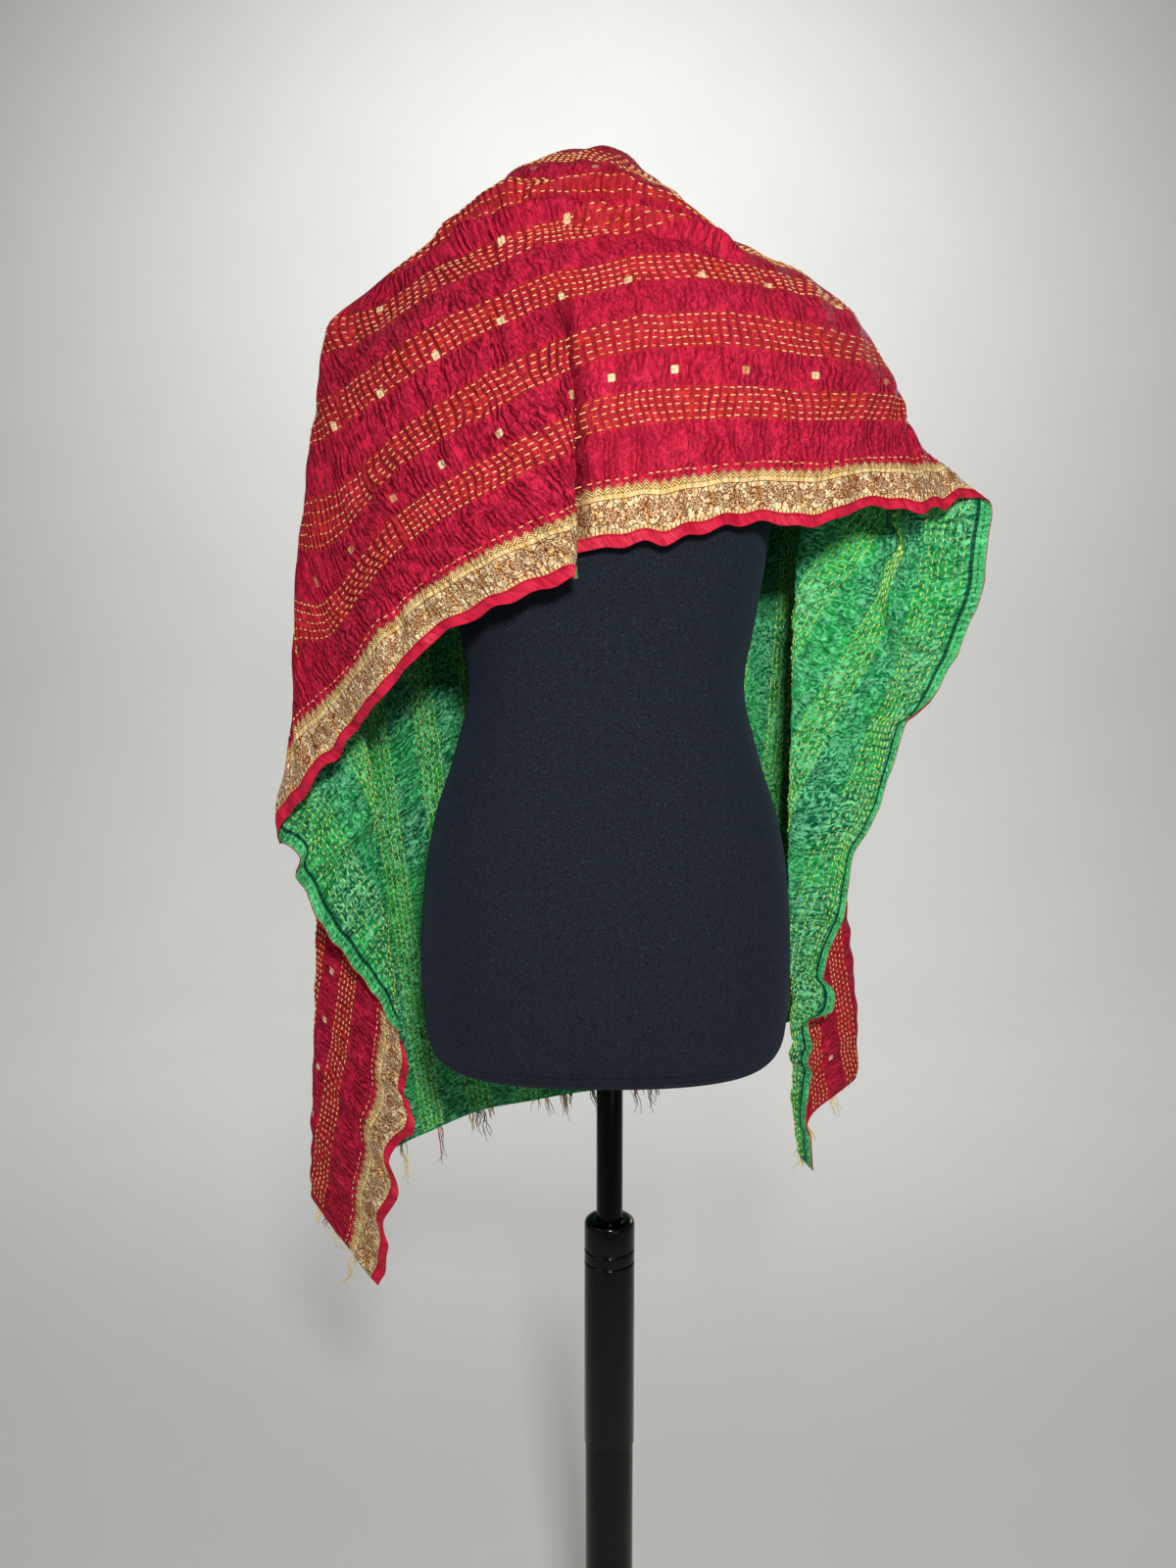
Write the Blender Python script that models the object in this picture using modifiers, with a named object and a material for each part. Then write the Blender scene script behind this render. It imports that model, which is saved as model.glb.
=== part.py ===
"""Silk shawl draped over a limbless dress form on a telescoping stand.

The shawl is one long rectangle of stitched silk. Its middle lies across the front of the form,
and both ends pass over the shoulders and hang behind as soft accordion folds. Sizes are in
metres, +Z is up, the front looks along -Y, and the origin is the centre of the base's underside.
"""

import math

import bmesh
import bpy
import numpy as np

for leftover in list(bpy.data.objects):
    bpy.data.objects.remove(leftover, do_unlink=True)

# Driving sizes of the cloth. "Along" runs down the length from the pleat at the front, and
# "across" runs from the bordered hem to the edge behind the neck.
SHAWL_WIDTH = 0.55
LEFT_END = -1.04
RIGHT_END = 1.10
LEFT_SPLIT = -0.22
RIGHT_SPLIT = 0.33
CLOTH_HALF = 0.0007
HEM_WIDTH = 0.011
SEAM_GAP = 0.0003
CLOTH_PITCH = 0.0225
PLEAT_SPAN = (-0.12, 0.04)
PLEAT_PITCH = 0.010

# The drape is worked out on a fine grid and then sampled.
FINE_PITCH = 0.005
FRONT_SOFTNESS = 0.009
FALL_SOFTNESS = 0.014
FRONT_CENTRE = -0.05
FRONT_REACH = 0.40
FRONT_BLEND = 0.12
HEM_WAVE_REACH = 0.045
HEM_WAVE_FADE = 1.5
CREASE_FULL_SHARE = 0.35
CREASE_FADE_SHARE = 0.12

# Driving sizes of the form and its stand.
FORM_SIDES = 40
FORM_SQUARENESS = 2.4
FORM_SHIFT_X = -0.004
FORM_BOTTOM = 0.812
BASE_RADIUS = 0.180
BASE_HEIGHT = 0.012
BASE_EDGE = 0.003
SLEEVE_RADIUS = 0.0230
SLEEVE_WALL = 0.002
COLLAR_RADIUS = 0.0240
COLLAR_BOTTOM = 0.437
COLLAR_TOP = 0.660
COLLAR_ROUNDING = 0.006
COLLAR_CHAMFER = 0.0018
COLLAR_GROOVES = (0.631, 0.619)
GROOVE_HALF = 0.0015
GROOVE_DEEP = 0.0012
TUBE_RADIUS = 0.0125
TUBE_PLAY = 0.0006
TUBE_BOTTOM = 0.250
ROUND_STEPS = 32

# Fringe.
STRIP_WIDTH = 0.004
STRAND_PITCH = 0.0150
STRAND_HALF = 0.0008
STRAND_SHORTEST = 0.010
STRAND_LONGEST = 0.048
STRAND_OUTWARDS = 0.6
STRAND_SCATTER = 0.25
STRAND_HANG = 0.9
STRAND_TIP = 0.6
STRAND_SEED = 7

# Points where several folds meet. Columns: across, along, x, y, z.
LEFT_APEX = (0.280, -0.200, -0.257, 0.005, 1.490)
RIGHT_APEX = (0.270, 0.315, 0.196, 0.050, 1.460)
LEFT_CORNER = (0.120, LEFT_END, -0.313, 0.100, 0.640)
RIGHT_CORNER = (0.175, RIGHT_END, 0.259, 0.092, 0.767)
RIGHT_TWIST = (0.030, RIGHT_END, 0.183, 0.033, 0.709)
RIGHT_FOOT = (0.042, 0.925, 0.174, 0.033, 0.847)

# Sections of the drape, from the left end to the right end, each a line across the cloth from
# the hem to the neck edge. Columns of a row: name, how it runs between its stations (straight
# along a fold, curved over the form), the section that it follows beyond its first and last
# stations, and its stations as (across, along, x, y, z).
SECTIONS = (
    ("left_end", "straight", None, (
        (0.000, LEFT_END, -0.230, 0.050, 0.565),
        LEFT_CORNER,
        (0.240, LEFT_END, -0.215, 0.135, 0.680),
        (0.330, LEFT_END, -0.137, 0.150, 0.710),
        (0.445, LEFT_END, -0.022, 0.160, 0.727),
        (0.550, LEFT_END, 0.068, 0.160, 0.735))),
    ("left_back_leaf", "straight", "left_end", (
        LEFT_CORNER,
        (0.280, -0.620, -0.222, 0.105, 1.070),
        (0.360, -0.640, -0.157, 0.130, 1.100),
        (0.440, -0.650, -0.082, 0.148, 1.090),
        (0.550, -0.660, 0.003, 0.152, 1.070))),
    ("left_outer_fold", "straight", "left_end", (
        LEFT_CORNER,
        LEFT_APEX,
        (0.360, -0.260, -0.192, 0.070, 1.485),
        (0.440, -0.270, -0.137, 0.105, 1.470),
        (0.550, -0.280, -0.077, 0.122, 1.400))),
    ("left_inner_fold", "straight", None, (
        (0.000, -0.770, -0.198, 0.035, 0.815),
        LEFT_APEX,
        (0.360, -0.215, -0.179, 0.045, 1.528),
        (0.440, -0.210, -0.119, 0.085, 1.540),
        (0.550, -0.210, -0.067, 0.112, 1.465))),
    ("left_front_fold", "straight", None, (
        (0.000, -0.515, -0.308, -0.015, 1.023),
        (0.100, -0.400, -0.290, -0.015, 1.218),
        LEFT_APEX,
        (0.355, -0.160, -0.157, 0.010, 1.562),
        (0.440, -0.150, -0.092, 0.055, 1.600),
        (0.550, -0.140, -0.052, 0.098, 1.530))),
    ("left_arm", "curved", None, (
        (0.000, -0.410, -0.246, -0.050, 1.098),
        (0.131, -0.320, -0.262, -0.020, 1.257),
        (0.208, -0.235, -0.242, -0.030, 1.392),
        (0.283, -0.168, -0.222, -0.010, 1.490),
        (0.360, -0.125, -0.139, 0.010, 1.575),
        (0.440, -0.110, -0.082, 0.050, 1.615),
        (0.550, -0.100, -0.042, 0.095, 1.540))),
    ("left_breast", "curved", None, (
        (0.000, -0.300, -0.184, -0.090, 1.172),
        (0.131, -0.206, -0.182, -0.085, 1.322),
        (0.208, -0.121, -0.146, -0.088, 1.437),
        (0.283, -0.092, -0.146, -0.048, 1.521),
        (0.345, -0.070, -0.111, -0.005, 1.588),
        (0.440, -0.060, -0.067, 0.045, 1.635),
        (0.550, -0.060, -0.032, 0.092, 1.545))),
    ("left_chest", "curved", None, (
        (0.000, -0.165, -0.081, -0.125, 1.236),
        (0.131, -0.092, -0.092, -0.125, 1.367),
        (0.208, -0.064, -0.091, -0.100, 1.461),
        (0.283, -0.035, -0.093, -0.064, 1.536),
        (0.352, -0.030, -0.087, -0.030, 1.602),
        (0.440, -0.020, -0.042, 0.038, 1.643),
        (0.550, -0.020, -0.019, 0.090, 1.550))),
    ("pleat_edge", "curved", None, (
        (0.000, -0.100, -0.028, -0.141, 1.252),
        (0.131, -0.030, -0.031, -0.146, 1.392),
        (0.206, -0.007, -0.041, -0.105, 1.477),
        (0.283, 0.012, -0.045, -0.068, 1.550),
        (0.360, 0.020, -0.042, -0.034, 1.607),
        (0.440, 0.010, -0.017, 0.035, 1.650),
        (0.550, 0.005, -0.009, 0.088, 1.555))),
    ("pleat_inside", "curved", None, (
        (0.000, -0.050, -0.026, -0.131, 1.262),
        (0.131, -0.012, -0.027, -0.139, 1.396),
        (0.206, 0.000, -0.036, -0.1045, 1.478),
        (0.283, 0.022, -0.038, -0.068, 1.550),
        (0.360, 0.028, -0.034, -0.034, 1.608),
        (0.440, 0.010, -0.017, 0.035, 1.650),
        (0.550, 0.005, -0.009, 0.088, 1.555))),
    ("pleat_root", "curved", None, (
        (0.000, 0.005, -0.014, -0.122, 1.276),
        (0.131, 0.006, -0.018, -0.133, 1.404),
        (0.206, 0.008, -0.030, -0.104, 1.479),
        (0.283, 0.032, -0.028, -0.067, 1.552),
        (0.360, 0.036, -0.027, -0.034, 1.609),
        (0.440, 0.030, -0.002, 0.034, 1.652),
        (0.550, 0.020, -0.002, 0.088, 1.555))),
    ("right_chest", "curved", None, (
        (0.000, 0.080, 0.057, -0.120, 1.287),
        (0.131, 0.078, 0.047, -0.132, 1.414),
        (0.208, 0.080, 0.044, -0.100, 1.497),
        (0.283, 0.090, 0.035, -0.065, 1.557),
        (0.360, 0.100, 0.030, -0.028, 1.598),
        (0.440, 0.080, 0.038, 0.040, 1.626),
        (0.550, 0.060, 0.018, 0.090, 1.550))),
    ("right_breast", "curved", None, (
        (0.000, 0.192, 0.165, -0.088, 1.305),
        (0.131, 0.192, 0.166, -0.085, 1.421),
        (0.208, 0.190, 0.157, -0.055, 1.499),
        (0.283, 0.175, 0.126, -0.010, 1.545),
        (0.360, 0.165, 0.098, 0.030, 1.575),
        (0.440, 0.150, 0.073, 0.060, 1.600),
        (0.550, 0.120, 0.043, 0.105, 1.512))),
    ("right_front_fold", "straight", None, (
        (0.000, 0.385, 0.343, -0.010, 1.332),
        (0.075, 0.325, 0.276, -0.008, 1.385),
        (0.131, 0.272, 0.256, -0.005, 1.434),
        (0.208, 0.247, 0.220, 0.000, 1.490),
        (0.283, 0.220, 0.173, 0.022, 1.540),
        (0.360, 0.220, 0.136, 0.075, 1.537),
        (0.440, 0.210, 0.095, 0.100, 1.520),
        (0.550, 0.210, 0.060, 0.125, 1.440))),
    ("right_green_leaf", "straight", None, (
        (0.000, 0.660, 0.255, 0.015, 1.064),
        (0.135, 0.430, 0.256, 0.020, 1.288),
        RIGHT_APEX,
        (0.360, 0.300, 0.160, 0.110, 1.490),
        (0.440, 0.300, 0.113, 0.130, 1.450),
        (0.550, 0.310, 0.044, 0.150, 1.340))),
    ("right_leaf_foot", "straight", "right_inner_fold", (
        (0.000, 0.905, 0.212, 0.024, 0.855),
        RIGHT_FOOT)),
    ("right_strip_top", "straight", "right_inner_fold", (
        (0.000, 0.930, 0.191, 0.020, 0.846),
        (0.032, 0.955, 0.172, 0.032, 0.820))),
    ("right_inner_fold", "straight", "right_end", (
        RIGHT_TWIST,
        (0.032, 0.955, 0.172, 0.032, 0.820),
        RIGHT_FOOT,
        (0.050, 0.810, 0.170, 0.032, 0.935),
        (0.080, 0.725, 0.169, 0.031, 1.010),
        (0.120, 0.620, 0.167, 0.030, 1.115),
        (0.190, 0.455, 0.168, 0.028, 1.295),
        RIGHT_APEX,
        (0.360, 0.300, 0.160, 0.110, 1.490),
        (0.440, 0.300, 0.113, 0.130, 1.450),
        (0.550, 0.310, 0.044, 0.150, 1.340))),
    ("right_outer_fold", "straight", "right_end", (
        RIGHT_CORNER,
        (0.178, 1.055, 0.262, 0.093, 0.803),
        (0.196, 0.915, 0.240, 0.092, 0.939),
        RIGHT_APEX,
        (0.360, 0.345, 0.180, 0.128, 1.440),
        (0.440, 0.350, 0.126, 0.152, 1.392),
        (0.550, 0.365, 0.048, 0.164, 1.285))),
    ("right_back_leaf", "straight", "right_end", (
        RIGHT_CORNER,
        (0.270, 0.700, 0.232, 0.134, 1.102),
        (0.360, 0.700, 0.150, 0.171, 1.090),
        (0.440, 0.700, 0.076, 0.188, 1.070),
        (0.550, 0.690, -0.030, 0.190, 1.030))),
    ("right_end", "straight", None, (
        (0.000, RIGHT_END, 0.197, 0.012, 0.701),
        RIGHT_TWIST,
        (0.085, RIGHT_END, 0.197, 0.050, 0.741),
        RIGHT_CORNER,
        (0.250, RIGHT_END, 0.208, 0.142, 0.812),
        (0.360, RIGHT_END, 0.100, 0.184, 0.776),
        (0.450, RIGHT_END, 0.010, 0.204, 0.738),
        (0.550, RIGHT_END, -0.098, 0.204, 0.720))),
)

# How far the hem waves off its fold lines. Columns: along, then the shift in x, y and z.
HEM_WAVES = (
    (-1.040, 0.000, 0.000, 0.000), (-0.995, 0.006, -0.004, 0.000), (-0.970, -0.004, 0.004, 0.000),
    (-0.935, 0.010, -0.006, 0.000), (-0.895, -0.004, 0.005, 0.000), (-0.855, 0.019, -0.008, 0.000),
    (-0.820, 0.002, 0.006, 0.000), (-0.790, 0.006, -0.004, 0.000), (-0.770, 0.000, 0.000, 0.000),
    (-0.700, 0.000, 0.004, 0.000), (-0.620, -0.004, -0.004, 0.000), (-0.560, -0.004, 0.006, 0.004),
    (-0.545, 0.008, 0.004, 0.010), (-0.515, 0.000, 0.000, 0.000), (-0.450, -0.003, -0.004, 0.000),
    (-0.380, 0.004, 0.004, 0.004), (-0.320, 0.002, -0.004, -0.004), (-0.240, 0.000, 0.006, 0.004),
    (-0.180, 0.000, -0.004, -0.002), (-0.100, 0.000, 0.000, 0.000), (0.000, 0.000, 0.000, 0.000),
    (0.060, 0.000, -0.004, -0.004), (0.130, 0.000, 0.005, 0.003), (0.200, 0.000, -0.006, -0.008),
    (0.235, 0.000, 0.006, 0.004), (0.300, 0.000, -0.006, -0.006), (0.360, 0.000, 0.004, 0.004),
    (0.385, 0.002, 0.000, 0.000), (0.420, 0.010, 0.004, 0.000), (0.470, 0.020, -0.006, 0.000),
    (0.520, 0.022, 0.004, 0.000), (0.575, 0.016, 0.004, 0.006), (0.595, -0.002, -0.004, 0.004),
    (0.660, 0.002, 0.003, 0.000), (0.695, -0.004, -0.004, 0.000), (0.731, -0.012, 0.004, 0.000),
    (0.794, -0.009, -0.003, 0.000), (0.854, -0.014, 0.002, 0.000), (0.872, -0.012, 0.000, 0.000),
    (0.890, 0.002, -0.002, 0.000), (0.905, 0.004, 0.000, -0.002), (0.930, -0.002, 0.000, 0.000),
    (0.960, 0.002, -0.003, 0.000), (1.046, -0.004, 0.003, 0.000), (1.100, 0.000, 0.000, 0.000),
)

# Soft creases. Columns: along and across at one end, along and across at the other, half width,
# and height, which is positive towards the red face.
CREASES = (
    (-0.160, 0.300, 0.000, 0.318, 0.010, -0.010),
    (-0.020, 0.318, 0.160, 0.300, 0.010, -0.010),
    (-0.120, 0.322, 0.140, 0.325, 0.012, 0.006),
    (0.000, 0.345, 0.120, 0.338, 0.008, -0.006),
    (-0.470, 0.020, -0.380, 0.160, 0.014, -0.008),
    (-0.600, 0.030, -0.420, 0.120, 0.016, 0.008),
    (0.450, 0.020, 0.400, 0.170, 0.014, 0.012),
    (0.520, 0.030, 0.440, 0.140, 0.014, -0.008),
    (-0.300, 0.000, -0.255, 0.060, 0.010, -0.006),
    (-0.130, 0.020, -0.090, 0.160, 0.014, -0.005),
    (-0.568, 0.000, -0.575, 0.080, 0.010, -0.009),
    (-0.602, 0.010, -0.592, 0.090, 0.013, 0.009),
    (0.585, 0.000, 0.580, 0.060, 0.010, 0.008),
    (0.872, 0.000, 0.850, 0.030, 0.009, 0.006),
)

# Rings of the dress form from the bottom up. Columns: height, half width, depth to the front,
# depth to the back.
FORM_RINGS = (
    (FORM_BOTTOM, 0.125, 0.066, 0.072), (0.814, 0.140, 0.082, 0.090), (0.822, 0.154, 0.096, 0.104),
    (0.842, 0.1655, 0.104, 0.115), (0.900, 0.1705, 0.108, 0.125), (0.945, 0.170, 0.108, 0.126),
    (1.000, 0.1655, 0.104, 0.120), (1.050, 0.156, 0.098, 0.108), (1.100, 0.140, 0.092, 0.094),
    (1.165, 0.1255, 0.088, 0.082), (1.220, 0.134, 0.095, 0.085), (1.270, 0.142, 0.108, 0.092),
    (1.330, 0.150, 0.124, 0.098), (1.380, 0.157, 0.124, 0.102), (1.430, 0.170, 0.098, 0.102),
    (1.462, 0.180, 0.074, 0.094), (1.488, 0.170, 0.056, 0.080), (1.510, 0.138, 0.044, 0.070),
    (1.530, 0.098, 0.036, 0.066), (1.552, 0.066, 0.030, 0.064), (1.580, 0.050, 0.027, 0.060),
    (1.595, 0.044, 0.022, 0.054), (1.600, 0.034, 0.014, 0.046),
)

parts = bpy.data.collections.new("silk_shawl_on_dress_form")
bpy.context.scene.collection.children.link(parts)


def material(name, colour, roughness, metallic=0.0):
    """A plain finish for one sub-part."""
    made = bpy.data.materials.new(name)
    made.use_nodes = True
    shader = made.node_tree.nodes["Principled BSDF"]
    shader.inputs["Base Color"].default_value = (*colour, 1.0)
    shader.inputs["Roughness"].default_value = roughness
    shader.inputs["Metallic"].default_value = metallic
    return made


def add_object(name, mesh, finish):
    """Links a finished mesh as one sub-part."""
    mesh.materials.append(finish)
    mesh.shade_smooth()
    mesh.set_sharp_from_angle(angle=math.radians(40))
    made = bpy.data.objects.new(name, mesh)
    parts.objects.link(made)
    return made


def curve_through(at_known, known, at):
    """Values at the asked places on a smooth curve through the known ones that never overshoots."""
    at_known = np.asarray(at_known, float)
    known = np.asarray(known, float).reshape(len(at_known), -1)
    span = np.diff(at_known)
    slope = np.diff(known, axis=0) / span[:, None]
    before, after = slope[:-1], slope[1:]
    same_way = before * after > 0
    total = np.where(same_way, before + after, 1.0)
    inside = np.where(same_way, 2 * before * after / total, 0.0)
    tangent = np.concatenate([slope[:1], inside, slope[-1:]])
    piece = np.clip(np.searchsorted(at_known, at, side="right") - 1, 0, len(span) - 1)
    u = ((at - at_known[piece]) / span[piece])[:, None]
    width = span[piece][:, None]
    start = known[piece] * (1 + 2 * u) * (1 - u) ** 2 + tangent[piece] * width * u * (1 - u) ** 2
    end = known[piece + 1] * u * u * (3 - 2 * u) + tangent[piece + 1] * width * u * u * (u - 1)
    return start + end


def line_through(at_known, known, at):
    """Values at the asked places on straight stretches between the known ones."""
    known = np.asarray(known, float).reshape(len(at_known), -1)
    return np.stack([np.interp(at, at_known, column) for column in known.T], axis=1)


def soften(values, axis, softness):
    """A running weighted mean along one axis, which rounds each fold and keeps straight runs."""
    spread = softness / FINE_PITCH
    reach = math.ceil(3 * spread)
    weights = np.exp(-0.5 * (np.arange(-reach, reach + 1) / spread) ** 2)
    weights /= weights.sum()
    values = np.moveaxis(values, axis, 0)
    before = 2 * values[:1] - values[1:reach + 1][::-1]
    after = 2 * values[-1:] - values[-reach - 1:-1][::-1]
    padded = np.concatenate([before, values, after])
    soft = sum(weight * padded[k:k + len(values)] for k, weight in enumerate(weights))
    return np.moveaxis(soft, 0, axis)


def read_sections(across):
    """Where each section runs: its place along the cloth and in space, at each step across."""
    read = {}
    for name, run, _, stations in SECTIONS:
        table = np.array(stations)
        through = curve_through if run == "curved" else line_through
        read[name] = through(table[:, 0], table[:, 1:], across)
    for name, _, beyond, stations in SECTIONS:
        if beyond:
            follows = (across < stations[0][0]) | (across > stations[-1][0] + FINE_PITCH / 2)
            read[name][follows] = read[beyond][follows]
    return np.stack([read[name] for name, _, _, _ in SECTIONS])


def crease_heights(along, across):
    """Height of the soft creases: a bell across each one, faded out at its two ends."""
    s, t = np.meshgrid(along, across, indexing="ij")
    height = np.zeros(s.shape)
    for s0, t0, s1, t1, half_width, tall in CREASES:
        length = math.hypot(s1 - s0, t1 - t0)
        way_s, way_t = (s1 - s0) / length, (t1 - t0) / length
        share = ((s - s0) * way_s + (t - t0) * way_t) / length
        off = (t - t0) * way_s - (s - s0) * way_t
        past_end = np.maximum(0, np.abs(share - 0.5) - CREASE_FULL_SHARE) / CREASE_FADE_SHARE
        height += tall * np.exp(-(past_end ** 2) - (off / half_width) ** 2)
    return height


def facing_of(grid):
    """Unit normals of a grid of points, which point out of the red face."""
    normal = np.cross(np.gradient(grid, axis=0), np.gradient(grid, axis=1))
    return normal / np.linalg.norm(normal, axis=2, keepdims=True)


def work_out_drape():
    """The draped cloth as a fine grid of points, indexed by place along and place across."""
    along = np.arange(round((RIGHT_END - LEFT_END) / FINE_PITCH) + 1) * FINE_PITCH + LEFT_END
    across = np.arange(round(SHAWL_WIDTH / FINE_PITCH) + 1) * FINE_PITCH
    sections = read_sections(across)
    front = np.clip((FRONT_REACH - np.abs(along - FRONT_CENTRE)) / FRONT_BLEND, 0, 1)[:, None]
    front = front * front * (3 - 2 * front)
    grid = np.empty((len(along), len(across), 3))
    for j in range(len(across)):
        row = sections[:, j]
        apart = np.append(True, np.diff(row[:, 0]) > 1e-5)
        at, places = row[apart, 0], row[apart, 1:]
        hung = line_through(at, places, along)
        grid[:, j] = hung + (curve_through(at, places, along) - hung) * front
    crisp = soften(soften(grid, 0, FRONT_SOFTNESS), 1, FRONT_SOFTNESS)
    round_folds = soften(soften(grid, 0, FALL_SOFTNESS), 1, FALL_SOFTNESS)
    grid = round_folds + (crisp - round_folds) * front[..., None]
    waves = np.array(HEM_WAVES)
    shift = curve_through(waves[:, 0], waves[:, 1:], along)
    near_hem = np.exp(-(across / HEM_WAVE_REACH) ** HEM_WAVE_FADE)
    grid += shift[:, None] * near_hem[None, :, None]
    grid += facing_of(grid) * crease_heights(along, across)[..., None]
    return grid


DRAPE = work_out_drape()


def sample(grid, along, across):
    """Values of a fine grid at every pair of an along place and an across place."""
    i = np.clip((np.asarray(along) - LEFT_END) / FINE_PITCH, 0, grid.shape[0] - 1.000001)
    j = np.clip(np.asarray(across) / FINE_PITCH, 0, grid.shape[1] - 1.000001)
    i0, j0 = i.astype(int), j.astype(int)
    u, v = (i - i0)[:, None, None], (j - j0)[None, :, None]
    low = grid[i0][:, j0] * (1 - v) + grid[i0][:, j0 + 1] * v
    high = grid[i0 + 1][:, j0] * (1 - v) + grid[i0 + 1][:, j0 + 1] * v
    return low * (1 - u) + high * u


def evenly(start, end, pitch):
    """Places from start to end, as near to the pitch as whole steps allow."""
    return np.linspace(start, end, max(1, round((end - start) / pitch)) + 1)


def lines_of(stops, pitches):
    """Places of the grid lines: each stretch between two stops is divided at its own pitch."""
    runs = [evenly(start, end, pitch) for start, end, pitch in zip(stops, stops[1:], pitches)]
    return np.concatenate([runs[0]] + [run[1:] for run in runs[1:]])


ALONG = lines_of(
    (LEFT_END, LEFT_END + STRIP_WIDTH, LEFT_SPLIT, *PLEAT_SPAN, RIGHT_SPLIT,
     RIGHT_END - STRIP_WIDTH, RIGHT_END),
    (STRIP_WIDTH, CLOTH_PITCH, CLOTH_PITCH, PLEAT_PITCH, CLOTH_PITCH, CLOTH_PITCH, STRIP_WIDTH))
ACROSS = lines_of((0.0, HEM_WIDTH, SHAWL_WIDTH), (HEM_WIDTH, CLOTH_PITCH))
MIDDLE = sample(DRAPE, ALONG, ACROSS)


def cut_cells():
    """Which cells of the grid are cut on the rising diagonal, the one from their first corner to
    their last. The rest are cut on the other, and each takes the one nearer the true surface."""
    centre = sample(DRAPE, (ALONG[1:] + ALONG[:-1]) / 2, (ACROSS[1:] + ACROSS[:-1]) / 2)
    rising = np.linalg.norm((MIDDLE[:-1, :-1] + MIDDLE[1:, 1:]) / 2 - centre, axis=2)
    falling = np.linalg.norm((MIDDLE[1:, :-1] + MIDDLE[:-1, 1:]) / 2 - centre, axis=2)
    return rising <= falling


RISES = cut_cells()

# The two triangles of a cell for each cut. A corner is a step along and across from the first.
RISING_CUT = (((0, 0), (1, 0), (1, 1)), ((0, 0), (1, 1), (0, 1)))
FALLING_CUT = (((0, 0), (1, 0), (0, 1)), ((1, 0), (1, 1), (0, 1)))


def facing_of_cells():
    """Normals of the grid's corners: the sum of the triangles round each, weighted by area."""
    total = np.zeros(MIDDLE.shape)
    rows, columns = RISES.shape
    for chosen, cut in ((RISES, RISING_CUT), (~RISES, FALLING_CUT)):
        for corners in cut:
            a, b, c = (MIDDLE[i:i + rows, j:j + columns] for i, j in corners)
            area = np.cross(b - a, c - a) * chosen[..., None]
            for i, j in corners:
                total[i:i + rows, j:j + columns] += area
    return total / np.linalg.norm(total, axis=2, keepdims=True)


NORMALS = facing_of_cells()


def square_to(axis):
    """Unit vectors in the cloth that stand square to the grid lines which run along one axis."""
    turned = np.cross(NORMALS, np.gradient(MIDDLE, axis=axis))
    return turned / np.linalg.norm(turned, axis=2, keepdims=True)


def middle_of(rows, columns):
    """A block of the grid, drawn in by half a seam gap on each side that has a neighbour."""
    block = MIDDLE[rows, columns].copy()
    half_gap = SEAM_GAP / 2
    step_along = -square_to(1)[rows, columns] * half_gap
    step_across = square_to(0)[rows, columns] * half_gap
    if rows.start > 0:
        block[0] += step_along[0]
    if rows.stop < len(ALONG):
        block[-1] -= step_along[-1]
    if columns.start > 0:
        block[:, 0] += step_across[:, 0]
    if columns.stop < len(ACROSS):
        block[:, -1] -= step_across[:, -1]
    return block


def side_faces(rises):
    """Triangles of a block's outer side, given which cells are cut on the rising diagonal."""
    rows, columns = rises.shape
    index = np.arange((rows + 1) * (columns + 1)).reshape(rows + 1, columns + 1)
    faces = []
    for chosen, cut in ((rises, RISING_CUT), (~rises, FALLING_CUT)):
        for corners in cut:
            triangles = np.stack([index[i:i + rows, j:j + columns] for i, j in corners], axis=2)
            faces.extend(triangles[chosen].tolist())
    return faces


def rim_faces(rows, columns):
    """Pairs of triangles that close the wall round its edge, keyed by two outer corners. Each
    pair is cut from the outer corner with the lower index, so that edges which meet match."""
    index = np.arange(rows * columns).reshape(rows, columns)
    ring = [*index[:-1, 0], *index[-1, :-1], *index[:0:-1, -1], *index[0, :0:-1]]
    inner = rows * columns
    faces = {}
    for u, v in zip(map(int, ring), map(int, ring[1:] + ring[:1])):
        if u < v:
            faces[u, v] = [[v, u, v + inner], [u, u + inner, v + inner]]
        else:
            faces[u, v] = [[v, u, u + inner], [v, u + inner, v + inner]]
    return faces


def close_wall(middle, facing, rises):
    """Points, side faces and rim faces of a wall that lies half a thickness either side."""
    outer = (middle + facing * CLOTH_HALF).reshape(-1, 3)
    inner = (middle - facing * CLOTH_HALF).reshape(-1, 3)
    front = side_faces(rises)
    back = [[v + len(outer) for v in reversed(face)] for face in front]
    return np.concatenate([outer, inner]).tolist(), front + back, rim_faces(*middle.shape[:2])


def add_wall(name, rows, columns, finish):
    """A closed wall of cloth over a block of the grid."""
    cells = RISES[rows.start:rows.stop - 1, columns.start:columns.stop - 1]
    points, sides, rim = close_wall(middle_of(rows, columns), NORMALS[rows, columns], cells)
    mesh = bpy.data.meshes.new(name)
    mesh.from_pydata(points, [], sides + sum(rim.values(), []))
    return add_object(name, mesh, finish)


def line_at(place):
    """Index of the grid line at a place along the cloth."""
    return int(np.argmin(np.abs(ALONG - place)))


def add_shawl():
    """Three stretches of silk with their rolled hem strips, 0.3 mm apart where they meet."""
    silk = material("stitched_silk", (0.45, 0.03, 0.06), 0.55)
    hem = material("plain_hem_silk", (0.50, 0.015, 0.03), 0.5)
    left, right = line_at(LEFT_SPLIT), line_at(RIGHT_SPLIT)
    stretches = (
        ("left_fall", "left_hem", slice(1, left + 1)),
        ("front_panel", "front_hem", slice(left, right + 1)),
        ("right_fall", "right_hem", slice(right, len(ALONG) - 1)),
    )
    for panel_name, hem_name, rows in stretches:
        add_wall(panel_name, rows, slice(1, len(ACROSS)), silk)
        add_wall(hem_name, rows, slice(0, 2), hem)


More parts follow.
